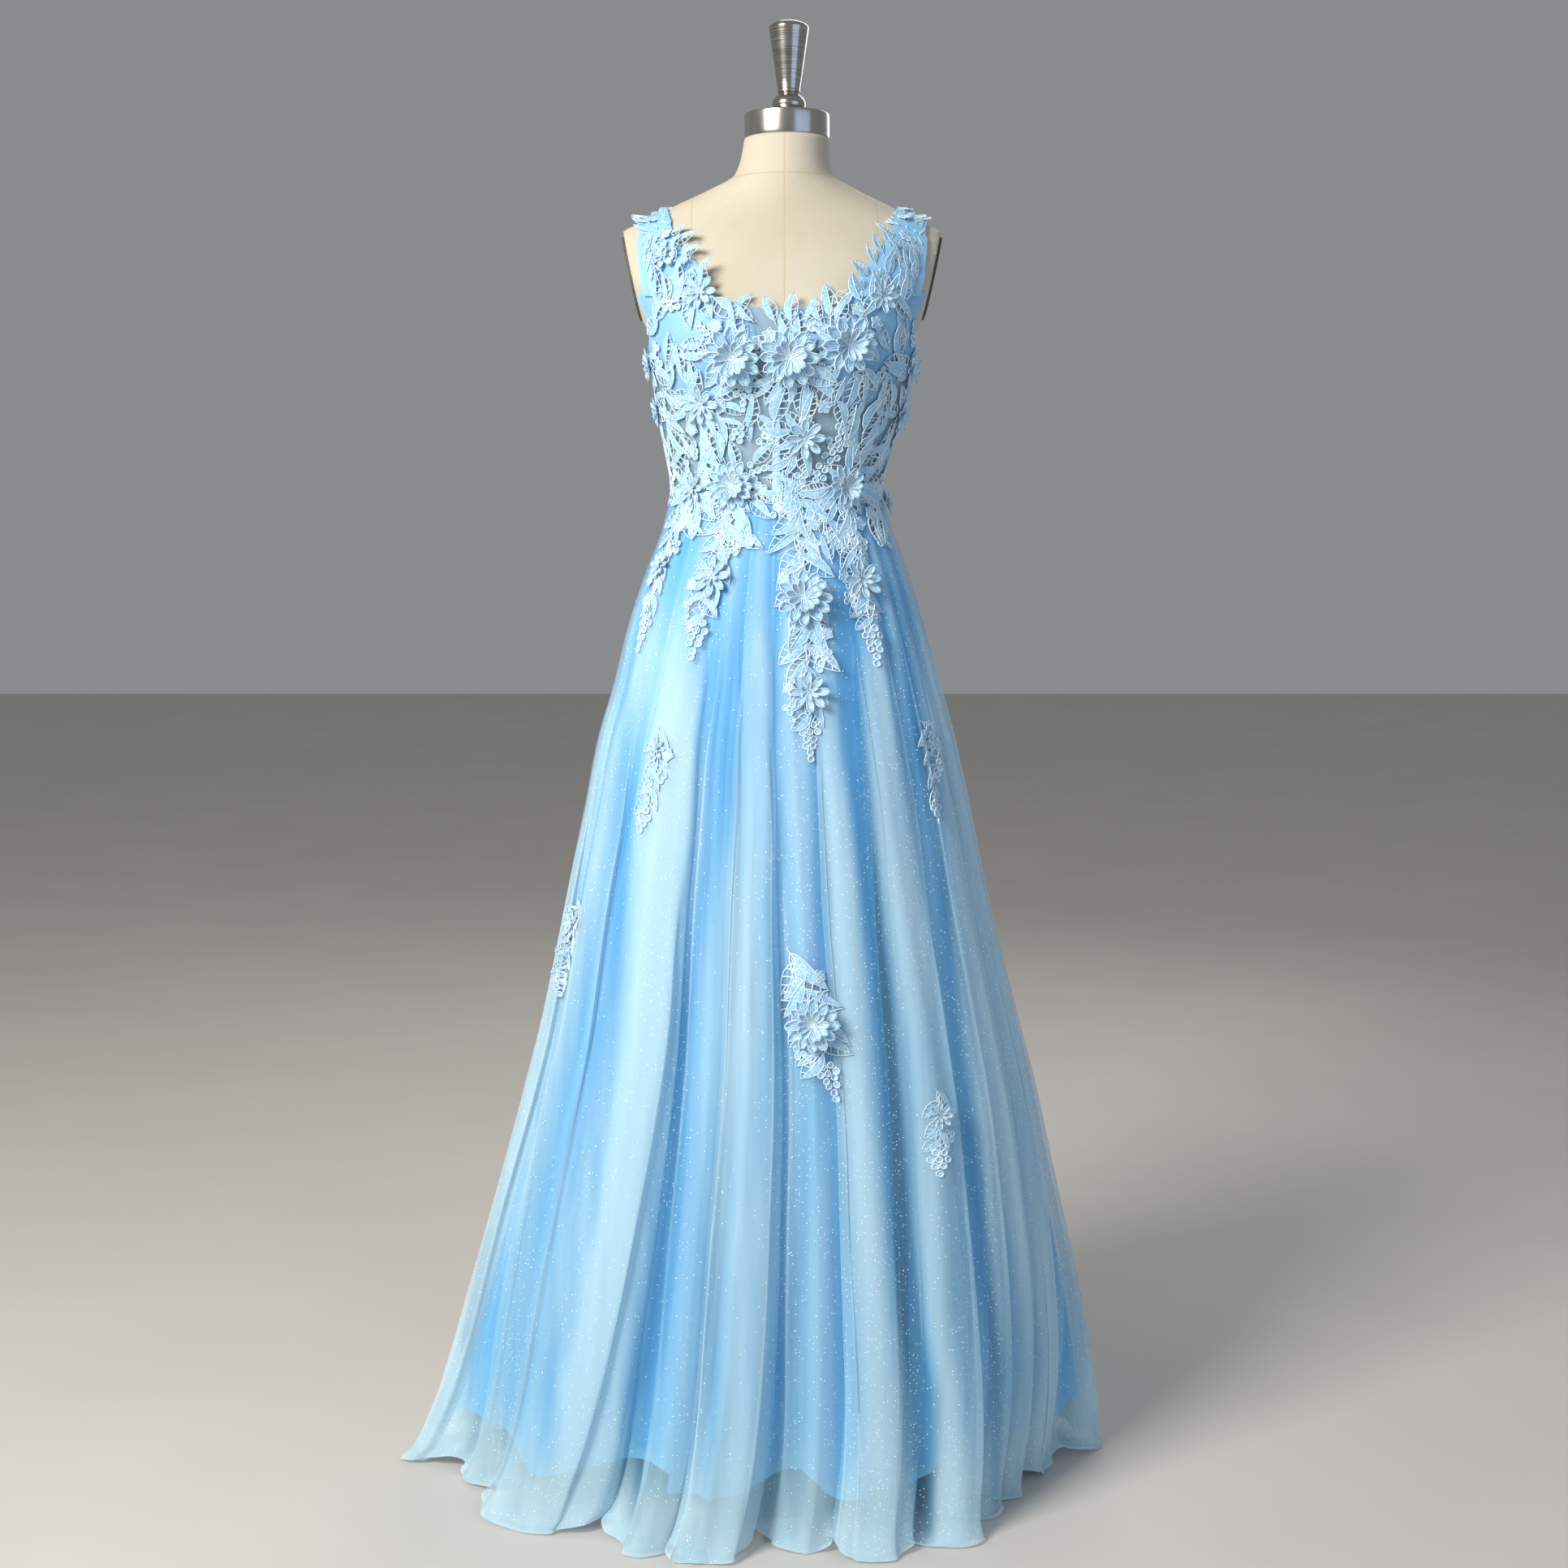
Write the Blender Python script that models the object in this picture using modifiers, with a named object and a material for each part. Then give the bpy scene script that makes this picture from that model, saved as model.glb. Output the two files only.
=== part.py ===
# A-line tulle gown with lace and stand-up flowers, on a limbless linen dress form with a steel neck cap.
# Metres. X is the gown's width, the front faces -Y, Z is up, and the floor is Z = 0.

import math
from collections import namedtuple

import bmesh
import bpy
from mathutils import Vector
from mathutils.bvhtree import BVHTree

for old in list(bpy.data.objects):
    bpy.data.objects.remove(old, do_unlink=True)


def table(columns, rows):
    """Rows of numbers with named columns."""
    kind = namedtuple("Row", columns)
    return [kind(*row) for row in rows]


# Clearances and wall thicknesses
SEAM_GAP = 0.0003
NET_WALL = 0.0011
CUP_WALL = 0.0011
LACE_WALL = 0.0010
LINING_WALL = 0.0011

# How far each layer's inner side stands off the linen
CUP_OFFSET = 0.0011
BODICE_OFFSET = 0.0033
SKIRT_NET_OUTER = 0.0063
LINING_BEHIND_NET = 0.0025

# Heights
WAIST_SEAM = 1.166
TORSO_TOP = 1.5706
TORSO_BOTTOM = 0.870
CAP_BOTTOM = TORSO_TOP + SEAM_GAP
CAP_TOP = 1.5985
LINING_HEM = 0.062

# Counts round and up
TORSO_COLUMNS = 40
HALF = TORSO_COLUMNS // 2
QUARTER = TORSO_COLUMNS // 4
SEAM_SHARE = 0.012
FRONT_STEPS_PER_FOLD = 5
BACK_STEPS_PER_FOLD = 4
LINING_STEPS_PER_FOLD = 3
ROUND_STEPS = 22

# Horizontal sections of the linen torso, top down: height, centre x, half width, depths, squareness
TORSO_SECTIONS = table(
    "z centre half front back square",
    [
        (1.5706, 0.0073, 0.0482, 0.0482, 0.0482, 2.0),
        (1.5480, 0.0058, 0.0510, 0.0520, 0.0510, 2.0),
        (1.5290, 0.0045, 0.0580, 0.0580, 0.0600, 2.0),
        (1.5140, 0.0030, 0.0850, 0.0600, 0.0680, 1.8),
        (1.4980, 0.0022, 0.1200, 0.0620, 0.0780, 1.7),
        (1.4830, 0.0018, 0.1500, 0.0640, 0.0860, 1.7),
        (1.4660, 0.0017, 0.1840, 0.0680, 0.0930, 1.8),
        (1.4450, 0.0017, 0.1920, 0.0760, 0.1000, 2.0),
        (1.4150, 0.0017, 0.1860, 0.0900, 0.1040, 2.2),
        (1.3850, 0.0015, 0.1700, 0.1020, 0.1050, 2.3),
        (1.3560, 0.0015, 0.1530, 0.1110, 0.1040, 2.3),
        (1.3300, 0.0024, 0.1485, 0.1130, 0.1010, 2.2),
        (1.3000, 0.0025, 0.1430, 0.1080, 0.0970, 2.2),
        (1.2600, 0.0000, 0.1340, 0.0980, 0.0900, 2.1),
        (1.2200, -0.0022, 0.1240, 0.0900, 0.0840, 2.1),
        (1.1880, -0.0040, 0.1170, 0.0860, 0.0810, 2.1),
        (1.1660, -0.0040, 0.1175, 0.0870, 0.0810, 2.1),
        (1.1250, -0.0040, 0.1240, 0.0920, 0.0880, 2.1),
        (1.0500, -0.0030, 0.1430, 0.1000, 0.1080, 2.1),
        (0.9500, -0.0020, 0.1580, 0.1040, 0.1220, 2.1),
        (0.8700, -0.0010, 0.1520, 0.0980, 0.1120, 2.1),
    ],
)

# Bust fullness of the form: where each side is highest and how far it spreads
BUST_HEIGHT = 1.333
BUST_APART = 0.074
BUST_RISE = 0.011
BUST_SPREAD_X = 0.042
BUST_SPREAD_Z = 0.045

# The flat armhole faces lean in towards their lower edge
ARMHOLE_X = 0.1560
ARMHOLE_Z = 1.356
ARMHOLE_LEAN = 0.217
FORM_CENTRE = 0.0017
NECK_CENTRE = 0.0015
PLATE_THICKNESS = 0.003
PLATE_MARGIN = 0.90

# Heights of the bodice's top edge, by distance from the centre line
NECKLINE_FRONT = table(
    "x height",
    [
        (0.000, 1.3735),
        (0.050, 1.3770),
        (0.066, 1.3880),
        (0.080, 1.3950),
        (0.138, 1.3950),
        (0.1460, 1.3560),
        (0.1510, 1.3400),
    ],
)
NECKLINE_BACK = table(
    "x height",
    [
        (0.000, 1.3300),
        (0.060, 1.3380),
        (0.100, 1.3640),
        (0.115, 1.3740),
        (0.136, 1.3700),
        (0.1460, 1.3480),
        (0.1510, 1.3400),
    ],
)
LEAF_EDGE = 0.004
BODICE_LEVELS = (1.1660, 1.1880, 1.2200, 1.2600, 1.3000, 1.3300, 1.3560)
LEVEL_FREE = 1.3000
LEVEL_BELOW_TOP = 0.006

# Opaque cups: torso columns away from the centre front, and the height of the bottom and top edge there
CUP_EDGES = table(
    "columns bottom top",
    [
        (1, 1.294, 1.362),
        (2, 1.276, 1.365),
        (3, 1.269, 1.363),
        (4, 1.268, 1.361),
        (5, 1.272, 1.360),
        (6, 1.282, 1.3590),
        (7, 1.294, 1.3580),
    ],
)
CUP_LEVELS = (1.300, 1.330, 1.356)

# Boning channels on the outside of the front net: x, top and bottom height
CHANNELS = table(
    "name x top bottom",
    [
        ("boning_channel_left", -0.0830, 1.262, 1.176),
        ("boning_channel_centre", -0.0045, 1.268, 1.170),
        ("boning_channel_right", 0.0800, 1.262, 1.206),
    ],
)
CHANNEL_HALF = 0.0045
CHANNEL_WALL = 0.0008
CHANNEL_ROWS = 3
CHANNEL_OFF = 0.0005
CHANNEL_DEPTH_CENTRE = -0.12

# Strap: turn round the shoulder in degrees from straight ahead, and its inner and outer edge
STRAP_SECTIONS = table(
    "turn inner outer",
    [
        (-7.0, 0.074, 0.150),
        (10.0, 0.084, 0.154),
        (25.0, 0.100, 0.157),
        (45.0, 0.117, 0.160),
        (65.0, 0.126, 0.162),
        (90.0, 0.131, 0.166),
        (115.0, 0.131, 0.165),
        (135.0, 0.129, 0.162),
        (155.0, 0.122, 0.160),
        (170.0, 0.112, 0.157),
        (190.0, 0.104, 0.150),
    ],
)
STRAP_PIVOT_Z = 1.398
STRAP_ROWS = 15
STRAP_COLUMNS = 4
STRAP_OFF_ENDS = 0.0066
STRAP_OFF_TOP = 0.0042
STRAP_SPLAY = 1.0

# Outline of the skirt, top down: height, left and right edge, depth in front and behind
SKIRT_SECTIONS = table(
    "z left right front back",
    [
        (1.1280, -0.1390, 0.1310, 0.1030, 0.0980),
        (1.0800, -0.1590, 0.1500, 0.1220, 0.1220),
        (1.0120, -0.1820, 0.1720, 0.1420, 0.1480),
        (0.9540, -0.1970, 0.1880, 0.1540, 0.1680),
        (0.8880, -0.2170, 0.2060, 0.1650, 0.1870),
        (0.8120, -0.2320, 0.2240, 0.1760, 0.2050),
        (0.7220, -0.2520, 0.2440, 0.1870, 0.2230),
        (0.5560, -0.2850, 0.2860, 0.2060, 0.2530),
        (0.4730, -0.3070, 0.3080, 0.2140, 0.2670),
        (0.3800, -0.3330, 0.3290, 0.2220, 0.2810),
        (0.2360, -0.3740, 0.3620, 0.2330, 0.3020),
        (0.1490, -0.4000, 0.3800, 0.2400, 0.3150),
        (0.0600, -0.4320, 0.3930, 0.2500, 0.3270),
        (0.0000, -0.4670, 0.3990, 0.2620, 0.3350),
    ],
)
NET_ROWS = [1.1657, 1.125, 1.060, 0.960, 0.830, 0.670, 0.490, 0.310, 0.150, 0.034, 0.0]
LINING_ROWS = [1.1657, 1.125, 1.040, 0.880, 0.640, 0.340, LINING_HEM]

# Front folds, left to right: x near the hip, x and y of the lobe on the floor, depth of the valley after it
FRONT_FOLDS = table(
    "x_hip x_hem y_hem valley",
    [
        (-0.182, -0.467, 0.007, 0.030),
        (-0.158, -0.386, -0.045, 0.034),
        (-0.104, -0.3135, -0.177, 0.060),
        (-0.058, -0.162, -0.248, 0.018),
        (-0.026, -0.100, -0.264, 0.050),
        (0.012, 0.0275, -0.240, 0.024),
        (0.061, 0.1000, -0.257, 0.030),
        (0.112, 0.195, -0.2235, 0.046),
        (0.136, 0.236, -0.155, 0.034),
        (0.152, 0.276, -0.100, 0.034),
        (0.166, 0.3226, -0.018, 0.028),
        (0.176, 0.399, 0.0435, 0.026),
    ],
)
# Back folds, right to left round the back: turn at hip and hem, reach of the lobe, depth of the next valley
BACK_FOLDS = table(
    "hip_turn hem_turn reach valley",
    [
        (22.0, 27.0, 0.99, 0.034),
        (44.0, 46.0, 1.02, 0.030),
        (63.0, 63.0, 0.98, 0.042),
        (82.0, 80.0, 1.01, 0.034),
        (101.0, 98.0, 1.00, 0.046),
        (119.0, 116.0, 0.98, 0.030),
        (138.0, 134.0, 1.02, 0.038),
        (158.0, 152.0, 0.99, 0.032),
    ],
)
HIP_HEIGHT = 1.0
HIP_EASE = 1.002
HEM_ARCH = 0.016
FOLD_TOP_DEPTH = 0.0006
FOLD_START = 0.03
FOLD_GROWTH = 1.15
VALLEY_POWER = 1.5
REACH_POWER = 3
PANEL_TRIM = 0.008
LINING_SINK = 0.96
LINING_WAVE = 0.24

# Stand-up flowers: name, distance across as seen from their side, height, side, radius
FLOWERS = table(
    "name x z side radius",
    [
        ("flower_bust_left", -0.053, 1.3190, "front", 0.0315),
        ("flower_bust_centre", 0.0095, 1.3190, "front", 0.0300),
        ("flower_bust_right", 0.0740, 1.3320, "front", 0.0315),
        ("flower_neck_left", -0.0890, 1.3905, "front", 0.0200),
        ("flower_strap_left", -0.1300, 1.4330, "front", 0.0185),
        ("flower_neck_right", 0.1125, 1.3875, "front", 0.0194),
        ("flower_side_left", -0.0880, 1.2700, "front", 0.0230),
        ("flower_ribs_centre", 0.0270, 1.2320, "front", 0.0235),
        ("flower_waist_left", -0.0540, 1.1800, "front", 0.0270),
        ("flower_waist_right", 0.0730, 1.1790, "front", 0.0245),
        ("flower_waist_outer_left", -0.0985, 1.1770, "front", 0.0200),
        ("flower_underarm_left", -0.0200, 1.3180, "left", 0.0190),
        ("flower_ribs_left", -0.0150, 1.2650, "left", 0.0180),
        ("flower_underarm_right", -0.0400, 1.3100, "right", 0.0200),
        ("flower_ribs_right", -0.0250, 1.2620, "right", 0.0210),
        ("flower_waist_side_right", -0.0100, 1.1620, "right", 0.0160),
        ("flower_back_left", 0.0680, 1.3050, "back", 0.0270),
        ("flower_back_right", -0.0680, 1.3050, "back", 0.0270),
        ("flower_back_waist_left", 0.0480, 1.1960, "back", 0.0250),
        ("flower_back_waist_right", -0.0480, 1.1960, "back", 0.0250),
    ],
)
PETALS = 7
FLOWER_RISE = 0.30
BOSS_HEIGHT = 0.80
# Rings of a flower from its foot to its middle: reach and rise of petal tips and of the notches between
FLOWER_RINGS = table(
    "tip notch tip_rise notch_rise",
    [
        (0.12, 0.12, 0.0, 0.0),
        (0.34, 0.28, 0.34, 0.34),
        (1.00, 0.62, 0.88, 0.58),
        (0.50, 0.34, 0.68, 0.62),
        (0.48, 0.26, 1.00, 0.70),
    ],
)
SEAT_START = -0.0015
SEAT_STEP = 0.0002
SEAT_TRIES = 60
SEAT_CLEAR = 0.0004

# Lace sprays on the skirt: name, side, start, end, half width, and the flowers along it,
# each as share of the length, radius and name. A flower with no name is a raised boss in the lace
CENTRE_BLOOMS = ((0.27, 0.027, "flower_trail_centre_upper"), (0.66, 0.021, "flower_trail_centre_lower"))
SPRAY_CENTRE_LOWER_BLOOM = ((0.52, 0.027, "flower_centre_lower"),)
TRAIL_RIGHT_BLOOM = ((0.40, 0.0204, "flower_trail_right"),)
TRAIL_LEFT_BLOOM = ((0.36, 0.021, "flower_trail_left"),)
TRAIL_LEFT_OUTER_BLOOM = ((0.30, 0.014, "flower_trail_left_outer"),)
SPRAYS = table(
    "name side x0 z0 x1 z1 half flowers",
    [
        ("trail_left_outer", "front", -0.1240, 1.120, -0.1560, 1.010, 0.017, TRAIL_LEFT_OUTER_BLOOM),
        ("trail_left", "front", -0.0560, 1.130, -0.0970, 1.003, 0.020, TRAIL_LEFT_BLOOM),
        ("trail_centre", "front", 0.0180, 1.140, 0.0340, 0.868, 0.024, CENTRE_BLOOMS),
        ("trail_right", "front", 0.0720, 1.130, 0.1040, 0.996, 0.019, TRAIL_RIGHT_BLOOM),
        ("trail_back_left", "back", 0.0520, 1.130, 0.0700, 0.960, 0.020, ((0.36, 0.020, ""),)),
        ("trail_back_right", "back", -0.0520, 1.130, -0.0700, 0.960, 0.020, ((0.36, 0.020, ""),)),
        ("spray_left_upper", "front", -0.1320, 0.905, -0.1540, 0.808, 0.016, ((0.20, 0.013, ""),)),
        ("spray_right_upper", "front", 0.1640, 0.905, 0.1760, 0.815, 0.015, ((0.20, 0.014, ""),)),
        ("spray_left_lower", "front", -0.2350, 0.700, -0.2520, 0.600, 0.015, ((0.25, 0.016, ""),)),
        ("spray_centre_lower", "front", 0.0150, 0.655, 0.0560, 0.530, 0.026, SPRAY_CENTRE_LOWER_BLOOM),
        ("spray_right_lower", "front", 0.1760, 0.500, 0.1770, 0.430, 0.014, ((0.30, 0.015, ""),)),
        ("spray_back_left", "back", 0.1300, 0.800, 0.1500, 0.700, 0.018, ((0.30, 0.016, ""),)),
        ("spray_back_right", "back", -0.1400, 0.560, -0.1600, 0.450, 0.020, ((0.35, 0.019, ""),)),
    ],
)
BOSS_RISE = 0.25
LEAF_PITCH = 0.026
SPRAY_WAIST = 0.45
SPRAY_TIP = 0.2
SPRAY_STEPS = (-1.0, -0.5, 0.0, 0.5, 1.0)

# Steel parts, radius and height from the top down
FINIAL_X = 0.0095
FINIAL_PROFILE = table(
    "radius z",
    [
        (0.0, 1.7005),
        (0.0110, 1.6995),
        (0.0185, 1.6965),
        (0.0224, 1.6916),
        (0.0175, 1.6580),
        (0.0124, 1.6243),
        (0.0128, 1.6225),
        (0.0105, 1.6200),
        (0.0165, 1.6160),
        (0.0193, 1.6095),
        (0.0170, 1.6030),
        (0.0135, CAP_TOP + SEAM_GAP),
        (0.0, CAP_TOP + SEAM_GAP),
    ],
)
CAP_X = 0.0073
CAP_RADIUS = 0.0483
CAP_ROUND = 0.0020
POLE_RADIUS = 0.016
BASE_RADIUS = 0.150
BASE_HEIGHT = 0.012
BASE_ROUND = 0.004

COLOURS = {
    "net": (0.42, 0.66, 0.88, 1.0),
    "lining": (0.30, 0.56, 0.84, 1.0),
    "lace": (0.70, 0.86, 0.95, 1.0),
    "cup": (0.36, 0.62, 0.86, 1.0),
    "linen": (0.83, 0.74, 0.56, 1.0),
    "steel": (0.62, 0.60, 0.57, 1.0),
    "dark_steel": (0.16, 0.16, 0.16, 1.0),
}
METALS = ("steel", "dark_steel")
FULL_TURN = 2.0 * math.pi

gown = bpy.data.collections.new("a_line_gown_on_form")
bpy.context.scene.collection.children.link(gown)


# Materials and objects


def addMaterial(owner, colour):
    material = bpy.data.materials.new(owner + "_" + colour)
    material.use_nodes = True
    shader = material.node_tree.nodes["Principled BSDF"]
    shader.inputs["Base Color"].default_value = COLOURS[colour]
    shader.inputs["Roughness"].default_value = 0.3 if colour in METALS else 0.8
    shader.inputs["Metallic"].default_value = 1.0 if colour in METALS else 0.0
    return material


def triangles(faces):
    """Every four-sided face split on the same diagonal, so that tests and solids agree."""
    split = []
    for face in faces:
        if len(face) == 4:
            split.append((face[0], face[1], face[2]))
            split.append((face[0], face[2], face[3]))
        else:
            split.append(face)
    return split


def addObject(name, points, faces, colour, smooth=True):
    mesh = bpy.data.meshes.new(name)
    mesh.from_pydata([tuple(point) for point in points], [], triangles(faces))
    mesh.validate()
    shape = bmesh.new()
    shape.from_mesh(mesh)
    bmesh.ops.recalc_face_normals(shape, faces=shape.faces)
    if shape.calc_volume(signed=True) < 0.0:
        bmesh.ops.reverse_faces(shape, faces=shape.faces)
    shape.to_mesh(mesh)
    shape.free()
    for polygon in mesh.polygons:
        polygon.use_smooth = smooth
    made = bpy.data.objects.new(name, mesh)
    gown.objects.link(made)
    mesh.materials.append(addMaterial(name, colour))
    return made


def treeOf(made):
    shape = bmesh.new()
    shape.from_mesh(made.data)
    tree = BVHTree.FromBMesh(shape)
    shape.free()
    return tree


# A wall between two grids of points, open round its edge or closed into a ring


def wallFaces(rows, columns, ring):
    faces = []
    size = rows * columns
    spans = columns if ring else columns - 1
    for row in range(rows - 1):
        for column in range(spans):
            following = (column + 1) % columns
            a = row * columns + column
            b = row * columns + following
            c = (row + 1) * columns + following
            d = (row + 1) * columns + column
            faces.append((a, b, c, d))
            faces.append((size + c, size + b, size + a, size + d))
    for column in range(spans):
        following = (column + 1) % columns
        last = (rows - 1) * columns
        faces.append((following, column, size + column, size + following))
        faces.append((last + column, last + following, size + last + following, size + last + column))
    if not ring:
        for row in range(rows - 1):
            near = row * columns
            far = near + columns - 1
            faces.append((near, near + columns, size + near + columns, size + near))
            faces.append((far + columns, far, size + far, size + far + columns))
    return faces


def addWall(name, outer, inner, colour, ring=False):
    rows = len(outer)
    columns = len(outer[0])
    points = [point for row in outer for point in row] + [point for row in inner for point in row]
    return addObject(name, points, wallFaces(rows, columns, ring), colour)


def lathe(name, profile, centre, colour):
    mesh = bpy.data.meshes.new(name)
    points = [(radius, 0.0, height) for radius, height in profile]
    mesh.from_pydata(points, [(i, i + 1) for i in range(len(points) - 1)], [])
    made = bpy.data.objects.new(name, mesh)
    made.location = (centre, 0.0, 0.0)
    gown.objects.link(made)
    screw = made.modifiers.new("turn", "SCREW")
    screw.steps = ROUND_STEPS
    screw.render_steps = ROUND_STEPS
    screw.use_merge_vertices = True
    screw.merge_threshold = 0.00002
    screw.use_smooth_shade = True
    mesh.materials.append(addMaterial(name, colour))
    return made


# Reading the tables


def lerp(a, b, share):
    return a + (b - a) * share


def clamp01(value):
    return min(1.0, max(0.0, value))


def smooth01(value):
    value = clamp01(value)
    return value * value * (3.0 - 2.0 * value)


def lookUp(rows, at, column):
    """The named column's value where the first column has this value."""
    if rows[0][0] > rows[-1][0]:
        rows = rows[::-1]
    if at <= rows[0][0]:
        return getattr(rows[0], column)
    for low, high in zip(rows, rows[1:]):
        if at <= high[0]:
            return lerp(getattr(low, column), getattr(high, column), (at - low[0]) / (high[0] - low[0]))
    return getattr(rows[-1], column)


def power(value, exponent):
    return math.copysign(abs(value) ** exponent, value)


# The torso


def bustRise(x, centre, z):
    total = 0.0
    for side in (-1.0, 1.0):
        across = (x - centre - side * BUST_APART) / BUST_SPREAD_X
        up = (z - BUST_HEIGHT) / BUST_SPREAD_Z
        total += BUST_RISE * math.exp(-across * across - up * up)
    return total


def torsoRing(section):
    z, centre, half, front, back, square = section
    ring = []
    for column in range(TORSO_COLUMNS):
        turn = FULL_TURN * column / TORSO_COLUMNS
        c = power(math.cos(turn), 2.0 / square)
        s = power(math.sin(turn), 2.0 / square)
        depth = front if s < 0.0 else back
        x = centre + half * c
        y = depth * s
        if s < 0.0:
            y -= bustRise(x, centre, z) * abs(s)
        ring.append(Vector((x, y, z)))
    return ring


torsoRings = [torsoRing(section) for section in TORSO_SECTIONS]


def torsoPoint(column, z):
    column = column % TORSO_COLUMNS
    for upper, lower in zip(torsoRings, torsoRings[1:]):
        if z >= lower[0].z:
            share = (upper[0].z - z) / (upper[0].z - lower[0].z)
            return upper[column].lerp(lower[column], share)
    return torsoRings[-1][column].copy()


def torsoOut(column, z):
    """Level direction that points out of the torso at this column."""
    before = torsoPoint(column - 1, z)
    after = torsoPoint(column + 1, z)
    along = after - before
    return Vector((along.y, -along.x, 0.0)).normalized()


def torsoOff(column, z, distance):
    return torsoPoint(column, z) + torsoOut(column, z) * distance


def buildTorso():
    points = [point for ring in torsoRings for point in ring]
    count = TORSO_COLUMNS
    faces = []
    for row in range(len(torsoRings) - 1):
        for column in range(count):
            following = (column + 1) % count
            upper = row * count
            lower = upper + count
            faces.append((upper + column, upper + following, lower + following, lower + column))
    faces.append(tuple(range(count)))
    faces.append(tuple(range((len(torsoRings) - 1) * count, len(torsoRings) * count)))
    torso = addObject("form_torso", points, faces, "linen")
    shape = bmesh.new()
    shape.from_mesh(torso.data)
    for side in (-1.0, 1.0):
        centre = Vector((FORM_CENTRE + side * ARMHOLE_X, 0.0, ARMHOLE_Z))
        normal = Vector((side, 0.0, -ARMHOLE_LEAN)).normalized()
        above = [face for face in shape.faces if min(vert.co.z for vert in face.verts) > ARMHOLE_Z - 0.001]
        edges = {edge for face in above for edge in face.edges}
        corners = {vert for face in above for vert in face.verts}
        cut = bmesh.ops.bisect_plane(
            shape,
            geom=above + list(edges) + list(corners),
            plane_co=centre,
            plane_no=normal,
            clear_outer=True,
        )
        rim = [item for item in cut["geom_cut"] if isinstance(item, bmesh.types.BMEdge)]
        bmesh.ops.contextual_create(shape, geom=rim)
    bmesh.ops.recalc_face_normals(shape, faces=shape.faces)
    shape.to_mesh(torso.data)
    shape.free()
    for polygon in torso.data.polygons:
        polygon.use_smooth = len(polygon.vertices) <= 4
    return torso


def buildPlate(name, torso, side):
    """A flat plate a little smaller than the torso's armhole face, just clear of it."""
    normal = Vector((side, 0.0, -ARMHOLE_LEAN)).normalized()
    face = max(
        (polygon for polygon in torso.data.polygons if polygon.normal.dot(normal) > 0.999),
        key=lambda polygon: polygon.area,
    )
    corners = [torso.data.vertices[index].co.copy() for index in face.vertices]
    middle = sum(corners, Vector()) / len(corners)
    inner = [middle + (corner - middle) * PLATE_MARGIN + normal * SEAM_GAP for corner in corners]
    outer = [point + normal * PLATE_THICKNESS for point in inner]
    count = len(inner)
    faces = [tuple(range(count)), tuple(range(count, 2 * count))]
    for index in range(count):
        following = (index + 1) % count
        faces.append((index, following, count + following, count + index))
    return addObject(name, inner + outer, faces, "dark_steel", smooth=False)


torso = buildTorso()
torsoTree = treeOf(torso)
buildPlate("form_armhole_plate_left", torso, -1.0)
buildPlate("form_armhole_plate_right", torso, 1.0)

lathe(
    "form_neck_cap",
    [
        (0.0, CAP_TOP),
        (CAP_RADIUS - CAP_ROUND, CAP_TOP - 0.0001),
        (CAP_RADIUS - 0.3 * CAP_ROUND, CAP_TOP - 0.35 * CAP_ROUND),
        (CAP_RADIUS, CAP_TOP - CAP_ROUND),
        (CAP_RADIUS, CAP_BOTTOM),
        (0.0, CAP_BOTTOM),
    ],
    CAP_X,
    "steel",
)
lathe("form_finial", FINIAL_PROFILE, FINIAL_X, "steel")
lathe(
    "form_pole",
    [
        (0.0, TORSO_BOTTOM - SEAM_GAP),
        (POLE_RADIUS, TORSO_BOTTOM - SEAM_GAP),
        (POLE_RADIUS, BASE_HEIGHT + SEAM_GAP),
        (0.0, BASE_HEIGHT + SEAM_GAP),
    ],
    0.0,
    "steel",
)
lathe(
    "form_base",
    [
        (0.0, BASE_HEIGHT),
        (BASE_RADIUS - BASE_ROUND, BASE_HEIGHT),
        (BASE_RADIUS, BASE_HEIGHT - BASE_ROUND),
        (BASE_RADIUS, 0.0),
        (0.0, 0.0),
    ],
    0.0,
    "dark_steel",
)


# The bodice: net walls over the torso, with opaque cups beneath the front


def topEdge(column):
    point = torsoPoint(column, ARMHOLE_Z)
    edge = NECKLINE_FRONT if column % TORSO_COLUMNS > HALF else NECKLINE_BACK
    height = lookUp(edge, abs(point.x - NECK_CENTRE), "height")
    return height + (LEAF_EDGE if column % 2 else 0.0)


def bodiceLevel(column, row):
    """Height of a bodice row: the torso's own rows, drawn down where the top edge is lower than they are."""
    top = topEdge(column)
    if row == len(BODICE_LEVELS):
        return top
    level = BODICE_LEVELS[row]
    ceiling = min(top - LEVEL_BELOW_TOP, BODICE_LEVELS[-1])
    if level <= LEVEL_FREE:
        return level
    return LEVEL_FREE + (level - LEVEL_FREE) * (ceiling - LEVEL_FREE) / (BODICE_LEVELS[-1] - LEVEL_FREE)


def bodiceWall(name, first, last, nearShare, farShare):
    """Net wall from one torso column to another, drawn in from each end by a share of a column."""
    outer = []
    inner = []
    stops = [first + nearShare] + list(range(first + 1, last)) + [last - farShare]
    for row in range(len(BODICE_LEVELS) + 1):
        outerRow = []
        innerRow = []
        for stop in stops:
            low = math.floor(stop)
            share = stop - low
            pair = []
            for distance in (BODICE_OFFSET + NET_WALL, BODICE_OFFSET):
                ends = []
                for column in (low, low + 1):
                    z = bodiceLevel(column, row)
                    ends.append(torsoOff(column, z, distance))
                pair.append(ends[0].lerp(ends[1], share))
            outerRow.append(pair[0])
            innerRow.append(pair[1])
        outer.append(outerRow)
        inner.append(innerRow)
    return addWall(name, outer, inner, "net")


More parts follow.
